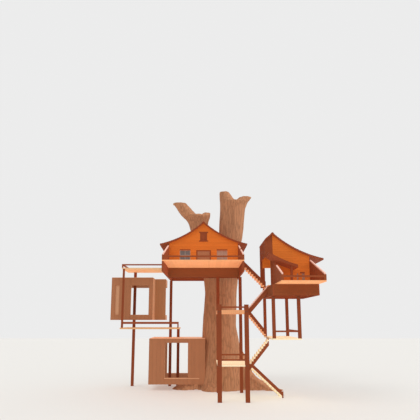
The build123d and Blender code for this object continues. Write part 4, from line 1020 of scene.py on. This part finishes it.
# The bay: upright boards on its screen's left side, a post below the screen's back end with its upper
# end beside the screen, and a board on the wall up to the doorway
bay_low, bay_high = box("bay_screen")
bay_top = half_top_z - (HALF[0][0] - bay_low[0]) * BAY_ROOF_FALL
slabs("bay_boards", [(planks(bay_low[1] + 0.02, bay_high[1] - 0.02, BAY_SCREEN_Z, bay_top), BOARD_LIFT,
                      on_left(bay_low[0]))], DARK_Z, "dark_boards", 0.14, rim=RIM_SHADE)
slabs("bay_corner_boards", [
    board(bay_wall, FACING_LIFT, bay_low[0], back_low[0], HALF_FLOOR_Z, BAY_SCREEN_Z, WALL),
    board(bay_wall, FACING_LIFT, bay_low[0] + SCREEN_THICK, back_low[0], BAY_SCREEN_Z, BAY_POST_TOP, WALL),
    board(bay_wall, FACING_LIFT, back_low[0], BAY_DOOR_X[0], HALF_FLOOR_Z, BAY_JAMB_TOP)],
      DARK_Z, "dark_boards")

half_face, head = on_front(half_wall_y), half_window[3]
slabs("half_window_board", [board(half_face, 0.01, *MIDDLE_BOARD, half_window[2], head, MIDDLE_BOARD_BACK)],
      ORANGE_X, "orange_boards")
slabs("half_window_lintel", [board(half_face, LINTEL_LIFT, *SHORT_LINTEL, head, head + LINTEL_HIGH)], DARK_X,
      "dark_timber")


# Roofs
def shingle_cover(name, ridge_x, ridge_z, sides, y0, y1, left_run=None, curve=SLOPE):
    """Shingles in courses down each slope, as far as left_run on the left one. Each stands off by its
    thickness at its lower edge and lies flat at its upper one. Those near the tree's limbs are left off."""
    _, radius, start, end = arc_through(*curve)
    length = radius * (end - start)
    edge = np.linspace(0.02, length + SHINGLE_EDGE, round(length / SHINGLE_LONG) + 1)
    parts = []
    for side in sides:
        quads, lifts = [], []
        place = on_slope(ridge_x, ridge_z, side, curve)
        for row, (u0, u1) in enumerate(zip(edge, edge[1:])):
            if left_run and side < 0 and u1 > left_run:
                continue
            first = y0 - (0.5 * SHINGLE_WIDE if row % 2 else 0.0)
            cuts = np.arange(first, y1 + SHINGLE_WIDE, SHINGLE_WIDE) + LUCK.uniform(-0.02, 0.02, 1)
            cuts = np.unique(np.clip(cuts, y0 - SHINGLE_EDGE, y1 + SHINGLE_EDGE))
            for v0, v1 in zip(cuts, cuts[1:]):
                if v1 - v0 > 0.05:
                    v0, v1 = v0 + SHINGLE_GAP / 2, v1 - SHINGLE_GAP / 2
                    quads.append(rectangle(u0, u1, v0, v1))
                    lifts.append([SHINGLE_FLAT, SHINGLE_THICK, SHINGLE_THICK, SHINGLE_FLAT])
        quads, lifts = np.array(quads), np.array(lifts)
        keep = ~near_tree(*place(quads[..., 0], quads[..., 1], 0.0), SHINGLE_CLEAR).any(axis=1)
        lifts = lifts + LUCK.uniform(0, 0.004, (len(lifts), 1))
        parts.append((quads[keep], lifts[keep], place, 0.001))
    slabs(name, parts, SHINGLES, "roof_shingles", 0.30, ease=FINE_EASE, rim=RIM_SHADE)


for cabin, node, ridge, left_run in (("main", "main_roof_left", MAIN_RIDGE, None),
                                     ("half", "half_roof", HALF_RIDGE, HALF_LEFT_RUN)):
    (_, y0, _), (_, y1, _) = box(node)
    shingle_cover(cabin + "_roof_cover", *ridge, (-1, 1), y0, y1, left_run)
    slabs(cabin + "_ridge_boards", [
        board(on_slope(*ridge, side), RIDGE_LIFT, 0.0, RIDGE_BOARD, y0 - RIDGE_END, y1 + RIDGE_END)
        for side in (-1, 1)], DARK_Y, "roof_shingles")

awning_low, awning_high = box("half_awning")
awning_run = awning_high[0] - awning_low[0]
AWNING = [(0, 0), (awning_run / 2, -AWNING_DROP / 2 - AWNING_HOLLOW), (awning_run, -AWNING_DROP)]
shingle_cover("awning_cover", awning_low[0], awning_high[2], (1,), awning_low[1], awning_high[1],
              curve=AWNING)

# Decks: the plain solids give way to planks of the same thickness
for name, node, material, slot, wide in (
        ("porch_planks", "main_porch_deck", TAN_PLANK, "light_deck", PLANK_WIDE),
        ("half_porch_planks", "half_porch_deck", TAN_PLANK, "light_deck", PLANK_WIDE),
        ("walkway_planks", "walkway_deck", WALKWAY_PLANK, "light_deck", BROAD_PLANK),
        ("lower_platform_planks", "lower_platform", WEATHERED_PLANK, "weathered_deck", BROAD_PLANK),
        ("hanging_platform_planks", "hanging_platform", PALE_PLANK, "pale_deck", BROAD_PLANK)):
    (x0, y0, z0), (x1, y1, z1) = box(node)
    piece = slabs(name, [(planks(x0, x1, y0, y1, wide), 0.0, on_top(z1), z1 - z0)], material, slot, 0.07)
    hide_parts(node)


# Bases
def base_boards(cabin, front_y, material):
    """Broad level boards on a base's side beams and on the front of its foremost cross beam."""
    low, high = box(cabin + "_side_beams")
    cross_low, cross_high = box(cabin + "_cross_beams")
    edge = np.linspace(low[2], high[2], BASE_BOARDS + 1)
    side, front = [[rectangle(u0, u1, a + FINE_GAP, b - FINE_GAP) for a, b in zip(edge, edge[1:])]
                   for u0, u1 in ((low[1] + 0.01, high[1] - 0.01), (cross_low[0], cross_high[0]))]
    slabs(cabin + "_base_boards", [
        (side, BOARD_LIFT, on_left(low[0])), (side, BOARD_LIFT, on_right(high[0])),
        (front, BOARD_LIFT, on_front(front_y))], material, "dark_timber", rim=RIM_SHADE)


base_boards("main", WALL_FRONT_Y, BASE_WOOD)
base_boards("half", box("half_side_beams")[0][1], HALF_BASE_WOOD)


# Stairs: risers close the flights under each nose, and a faced string hides the second flight's ends
def risers(flight, count, goes_right, material, slot):
    """Upright boards from each tread up to the one above, and the noses' places and heights."""
    low, high = box(f"flight_{flight}_treads")
    rise = (high[2] - low[2] - STEP_THICK) / (count - 2)
    going = (high[0] - low[0]) / (count - 1)
    step = np.arange(1, count)
    nose = low[0] + (step - 1) * going if goes_right else high[0] - (step - 1) * going
    tread_z = high[2] - (step - 1) * rise
    face = on_right if goes_right else on_left
    slabs(f"flight_{flight}_risers", [
        board(face(x), 0.0, low[1] + FINE_GAP, high[1] - FINE_GAP, z, z + rise - STEP_THICK, RISER_THICK)
        for x, z in zip(nose, tread_z)], material, slot, 0.05, ease=FINE_EASE)
    return nose, tread_z + rise


NOSES = {flight: risers(flight, *row) for flight, *row in (
    ("a", 11, True, TREAD_PAINTED_LIGHT_TAN, "light_deck"), ("b", 11, False, TREAD_PAINTED_LIGHT_TAN, "light_deck"),
    ("c", 11, True, TREAD_PAINTED_LIGHT_TAN, "light_deck"), ("d", 11, False, TREAD_PALE, "pale_deck"),
    ("e", 15, True, TREAD_PALE, "pale_deck"))}
b_low, b_high = box("flight_b_treads")


def beside_b(over, under):
    """A board's corners along the second flight's nose line, between two heights from it."""
    nose, level = NOSES["b"]
    fall = (level[-1] - level[0]) / (nose[-1] - nose[0])
    x0, x1 = b_low[0] + 0.02, b_high[0] - 0.02
    z0, z1 = [level[0] + (x - nose[0]) * fall for x in (x0, x1)]
    return [(x0, z0 + under), (x1, z1 + under), (x1, z1 + over), (x0, z0 + over)]


# The capping's pale pink is a painted highlight along the string's top edge.
for name, over, under, lift, material, slot in (
        ("flight_b_facing", -0.13, -0.33, FACING_LIFT, DARK_X, "dark_timber"),
        ("flight_b_capping", 0.02, -0.13, CAPPING_LIFT, CAPPING_HIGHLIGHT, "pale_trim")):
    slabs(name, [([beside_b(over, under)], lift, on_front(b_low[1]))], material, slot)


# Porch sides
def wing_boards(cabin, floor_z, left_end=None, gap=None):
    """Upright boards on both faces of a porch's sides, whose tops follow the cap's even fall.

    The left side runs back to left_end, and the right one is open across the gap.
    """
    low, high = box(cabin + "_porch_wings")
    left_end = high[1] if left_end is None else left_end
    rise_back = high[2] - floor_z

    def top(y):
        return (floor_z + WING_FRONT_RISE + (rise_back - WING_FRONT_RISE) * (y - low[1]) / (high[1] - low[1])
                - 0.01)
    faces = [(place, low[1], left_end) for place in (on_left(low[0]), on_right(low[0] + WING_THICK))]
    for start, end in [(low[1], gap[0]), (gap[1], high[1])] if gap else [(low[1], high[1])]:
        faces += [(place, start, end) for place in (on_right(high[0]), on_left(high[0] - WING_THICK))]
    slabs(cabin + "_wing_boards", [
        (planks(start, end, floor_z + 0.005, top), BOARD_LIFT, place) for place, start, end in faces],
          DARK_Z, "dark_boards", 0.14, rim=RIM_SHADE)


stair_low, stair_high = box("flight_a_treads")
wing_boards("main", MAIN_FLOOR_Z, gap=(stair_low[1] - STAIR_CLEAR, stair_high[1] + STAIR_CLEAR))
wing_boards("half", HALF_FLOOR_Z, awning_low[1])


# Brown rooms
def room_boards(name, v0, v1, faces, material):
    """Broad upright boards on a room's faces; each face is its surface, both ends and its holes."""
    parts = []
    for place, u0, u1, *holes in faces:
        quads = []
        edges = np.linspace(u0, u1, max(2, round((u1 - u0) / ROOM_BOARD) + 1))
        cuts = sorted({*edges, *[h[i] for h in holes for i in (0, 1) if u0 < h[i] < u1]})
        for a, b in zip(cuts, cuts[1:]):
            if b - a < LEAST_BOARD:
                continue
            spans = [(v0, v1)]
            for h0, h1, foot, head in holes:
                if h0 < (a + b) / 2 < h1:
                    spans = [(s, min(e, foot)) for s, e in spans] + [(max(s, head), e) for s, e in spans]
            quads += [rectangle(a + FINE_GAP, b - FINE_GAP, s, e) for s, e in spans if e - s > LEAST_BOARD]
        parts.append((quads, ROOM_LIFT, place))
    slabs(name, parts, material, "carved_wood", 0.05, rim=RIM_SHADE)


def window_lining(x0, x1, z0, z1, y0, y1):
    """The left jamb and the sill of a room's window, each a board across the wall's thickness."""
    return [board(on_right(x0), LINING_LIFT, y0, y1, z0, z1),
            board(on_top(z0), LINING_LIFT, x0 + LINING_LIFT + 0.001, x1, y0, y1)]


def roof_boards(z, x0, x1, y0, y1):
    """Boards along X over a room's roof, which stop short of the trunk."""
    quads = []
    edges = np.linspace(y0, y1, ROOM_ROOF_BOARDS + 1)
    for a, b in zip(edges, edges[1:]):
        along = np.arange(x0, x1, 0.05)[:, None]
        clear = ~near_tree(along, np.linspace(a, b, 5)[None], z, TRUNK_CLEAR).any(axis=1)
        end = x1 if clear.all() else along[:, 0][np.argmin(clear)]
        quads.append(rectangle(x0, end, a + 0.005, b - 0.005))
    return quads, ROOM_ROOF_LIFT, on_top(z)


(up_x0, up_y0, up_ceiling), (up_x1, up_y1, up_z1) = box("upper_room_roof")
(_, _, up_z0), (_, _, up_floor) = box("upper_room_floor")
(ground_x0, ground_y0, _), _ = box("ground_room_front")
(_, _, ground_z0), (_, _, ground_floor) = box("ground_room_floor")
(_, _, ground_ceiling), (ground_x1, _, ground_z1) = box("ground_room_roof")
ground_y1 = box("ground_room_back")[1][1]
up_inner_y, ground_inner_y = up_y1 - ROOM_WALL, ground_y1 - ROOM_WALL
up_back_holes = [UP_BACK_WINDOW, (UP_BACK_GAP_X, up_x1, *UP_OPEN)]
room_boards("upper_room_boards", up_z0, up_z1, [
    (on_front(up_y0), up_x0, STEP_X, UP_WINDOW, UP_SLIT), (on_left(up_x0), up_y0, up_y1),
    (on_back(up_y1), up_x0, up_x1, *up_back_holes)], ROOM_WOOD)
# The recessed front is in the lighter brown, painted light that offsets its shade.
room_boards("upper_room_recess_boards", up_z0, up_z1, [(on_front(STEP_Y), STEP_X, up_x1)], RECESS_PAINTED_LIGHT_WOOD)
# The right-facing end faces are in the pale brown, painted light on the side the key light falls on.
room_boards("upper_room_end_boards", up_z0, up_z1, [
    (on_right(STEP_X), up_y0, STEP_Y),
    (on_right(up_x1), STEP_Y, up_y1, (UP_END_GAP_Y, up_y1, *UP_OPEN))], ROOM_PAINTED_LIGHT_WOOD)
room_boards("ground_room_boards", ground_z0, ground_z1, [
    (on_front(ground_y0), ground_x0, GROUND_FRONT_END, GROUND_WINDOW),
    (on_left(ground_x0), ground_y0, ground_y1),
    (on_back(ground_y1), ground_x0, GROUND_BACK_END, GROUND_BACK_WINDOW)], ROOM_WOOD)
# The jambs and sills are in the pale brown, painted light on faces turned towards the key light or up.
slabs("room_window_linings", [part for window, y0, y1 in (
    (UP_WINDOW, up_y0, up_y0 + ROOM_WALL), (UP_BACK_WINDOW, up_inner_y, up_y1),
    (GROUND_WINDOW, ground_y0, ground_y0 + ROOM_WALL), (GROUND_BACK_WINDOW, ground_inner_y, ground_y1))
    for part in window_lining(*window, y0, y1)], ROOM_PAINTED_LIGHT_WOOD, "carved_wood", 0.05)
# The roof boards are in the pale brown, painted light on the upward faces.
slabs("room_roof_boards", [
    roof_boards(up_z1, up_x0, STEP_X, up_y0, STEP_Y), roof_boards(up_z1, up_x0, up_x1, STEP_Y, up_y1),
    roof_boards(ground_z1, ground_x0, ground_x1, ground_y0, ground_y1)], ROOM_TOP_PAINTED_LIGHT_WOOD, "carved_wood", 0.08)

# The rooms' inner back walls, a pale board below each back window, the slit's back and the long sill, all in
# lighter browns: painted light where the insides would lie in shade and on faces that catch the light
room_boards("upper_room_inner_boards", up_floor, up_ceiling, [
    (on_front(up_inner_y), up_x0 + ROOM_WALL, up_x1 - ROOM_WALL, *up_back_holes)], INNER_PAINTED_LIGHT_WOOD)
room_boards("ground_room_inner_boards", ground_floor, ground_ceiling, [
    (on_front(ground_inner_y), ground_x0 + ROOM_WALL, GROUND_BACK_WINDOW[1] + 0.1, GROUND_BACK_WINDOW)],
            INNER_PAINTED_LIGHT_WOOD)
for name, parts in (
        ("room_sill_boards", [
            board(on_front(y), FACING_LIFT, x0, x1, z0 - SILL_BOARD, z0)
            for (x0, x1, z0, _), y in ((UP_BACK_WINDOW, up_inner_y), (GROUND_BACK_WINDOW, ground_inner_y))]),
        ("room_slit_board", [board(on_front(up_y0 + SLIT_DEEP), ROOM_LIFT, *UP_SLIT)]),
        ("ground_room_sill", [board(on_front(ground_y0), SILL_PROUD, *GROUND_SILL)])):
    slabs(name, parts, ROOM_PAINTED_LIGHT_WOOD, "carved_wood")

# Door
door_low, door_high = box("main_door")
door_face = on_front(WALL_FRONT_Y - TRIM_PROUD)
leaf_x0, leaf_x1 = CABIN_X - LEAF_HALF, CABIN_X + LEAF_HALF
handle_z = (door_low[2] + door_high[2]) / 2
leaf = planks(leaf_x0, leaf_x1 - HINGE_STRIP, door_low[2], door_high[2], 2 * LEAF_HALF / DOOR_PLANKS, 0.008)
slabs("door_boards", [(leaf, 0.010, door_face)], DOOR_WOOD, "door_planks", 0.12, "door", rim=RIM_SHADE)
slabs("door_ledges", [board(door_face, 0.028, leaf_x0 + 0.05, leaf_x1 - 0.10, z, z + DOOR_LEDGE_HIGH)
                      for z in (door_low[2] + DOOR_LEDGES[0], door_high[2] + DOOR_LEDGES[1])],
      DOOR_WOOD, "door_planks", body="door")
ring_handle("door_ring", leaf_x0 + RING_X, WALL_FRONT_Y - TRIM_PROUD - 0.012, handle_z, STEEL)
slabs("door_ring_plate", [board(door_face, 0.022, leaf_x0 + RING_X - 0.03, leaf_x0 + RING_X + 0.03,
                                handle_z + 0.02, handle_z + 0.12)], STEEL, "steel", body="door")


# Windows and shutter
def glazing_bars(name, windows):
    """Slender upright and level bars on each window's glass, with a frame round it."""
    upright, level = [], []
    for x0, x1, z0, z1 in windows:
        middle_x, middle_z = (x0 + x1) / 2, (z0 + z1) / 2
        upright += [rectangle(a, b, z0, z1) for a, b in
                    ((middle_x - BAR_HALF, middle_x + BAR_HALF), (x0, x0 + SIDE_BAR), (x1 - SIDE_BAR, x1))]
        level += [rectangle(x0, x1, a, b) for a, b in
                  ((middle_z - BAR_HALF, middle_z + BAR_HALF), (z0, z0 + END_BAR), (z1 - END_BAR, z1))]
    pane_face = on_front(WALL_FRONT_Y + WALL / 2)
    slabs(name, [(upright, 0.03, pane_face), (level, 0.025, pane_face)], GLASS_BARS, "window_glass",
          ease=0.004)


glazing_bars("window_bars", [(u0, u1, v0 + WINDOW_FRAME, v1 - WINDOW_FRAME) for u0, u1, v0, v1 in HOLES[1:3]])
u0, u1, v0, v1 = HOLES[3]
shutter_face = on_front(WALL_FRONT_Y)
slabs("shutter_boards", [(planks(u0, u1, v0, v1, SHUTTER_PLANK), 0.006, shutter_face)], DARK_Z,
      "dark_boards", 0.15, rim=RIM_SHADE)
slabs("shutter_ledges", [board(shutter_face, 0.024, u0 + 0.04, u1 - 0.04, z, z + SHUTTER_LEDGE_HIGH)
                         for z in (v0 + SHUTTER_LEDGES[0], v1 + SHUTTER_LEDGES[1])], DARK_X, "dark_boards")

# Bolts at the posts' joints
low, high = box("tower_posts")
bolt_xs = [low[0] + a for a in TOWER_BOLTS] + [high[0] - a for a in TOWER_BOLTS[::-1]]
bolt_zs = (box("stair_landings")[1][2] - TOWER_BOLT_BELOW, LOWER_BOLT_Z)
bolt_heads("landing_bolts", [(x, low[1], z) for x in bolt_xs for z in bolt_zs], STEEL)
low, high = box("hanging_posts")
bolt_heads("hanger_bolts", [(x, low[1], high[2] - down) for x in (low[0] + HANGER_BOLT, high[0] - HANGER_BOLT)
                            for down in HANGER_BOLTS_BELOW], STEEL)

low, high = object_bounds()
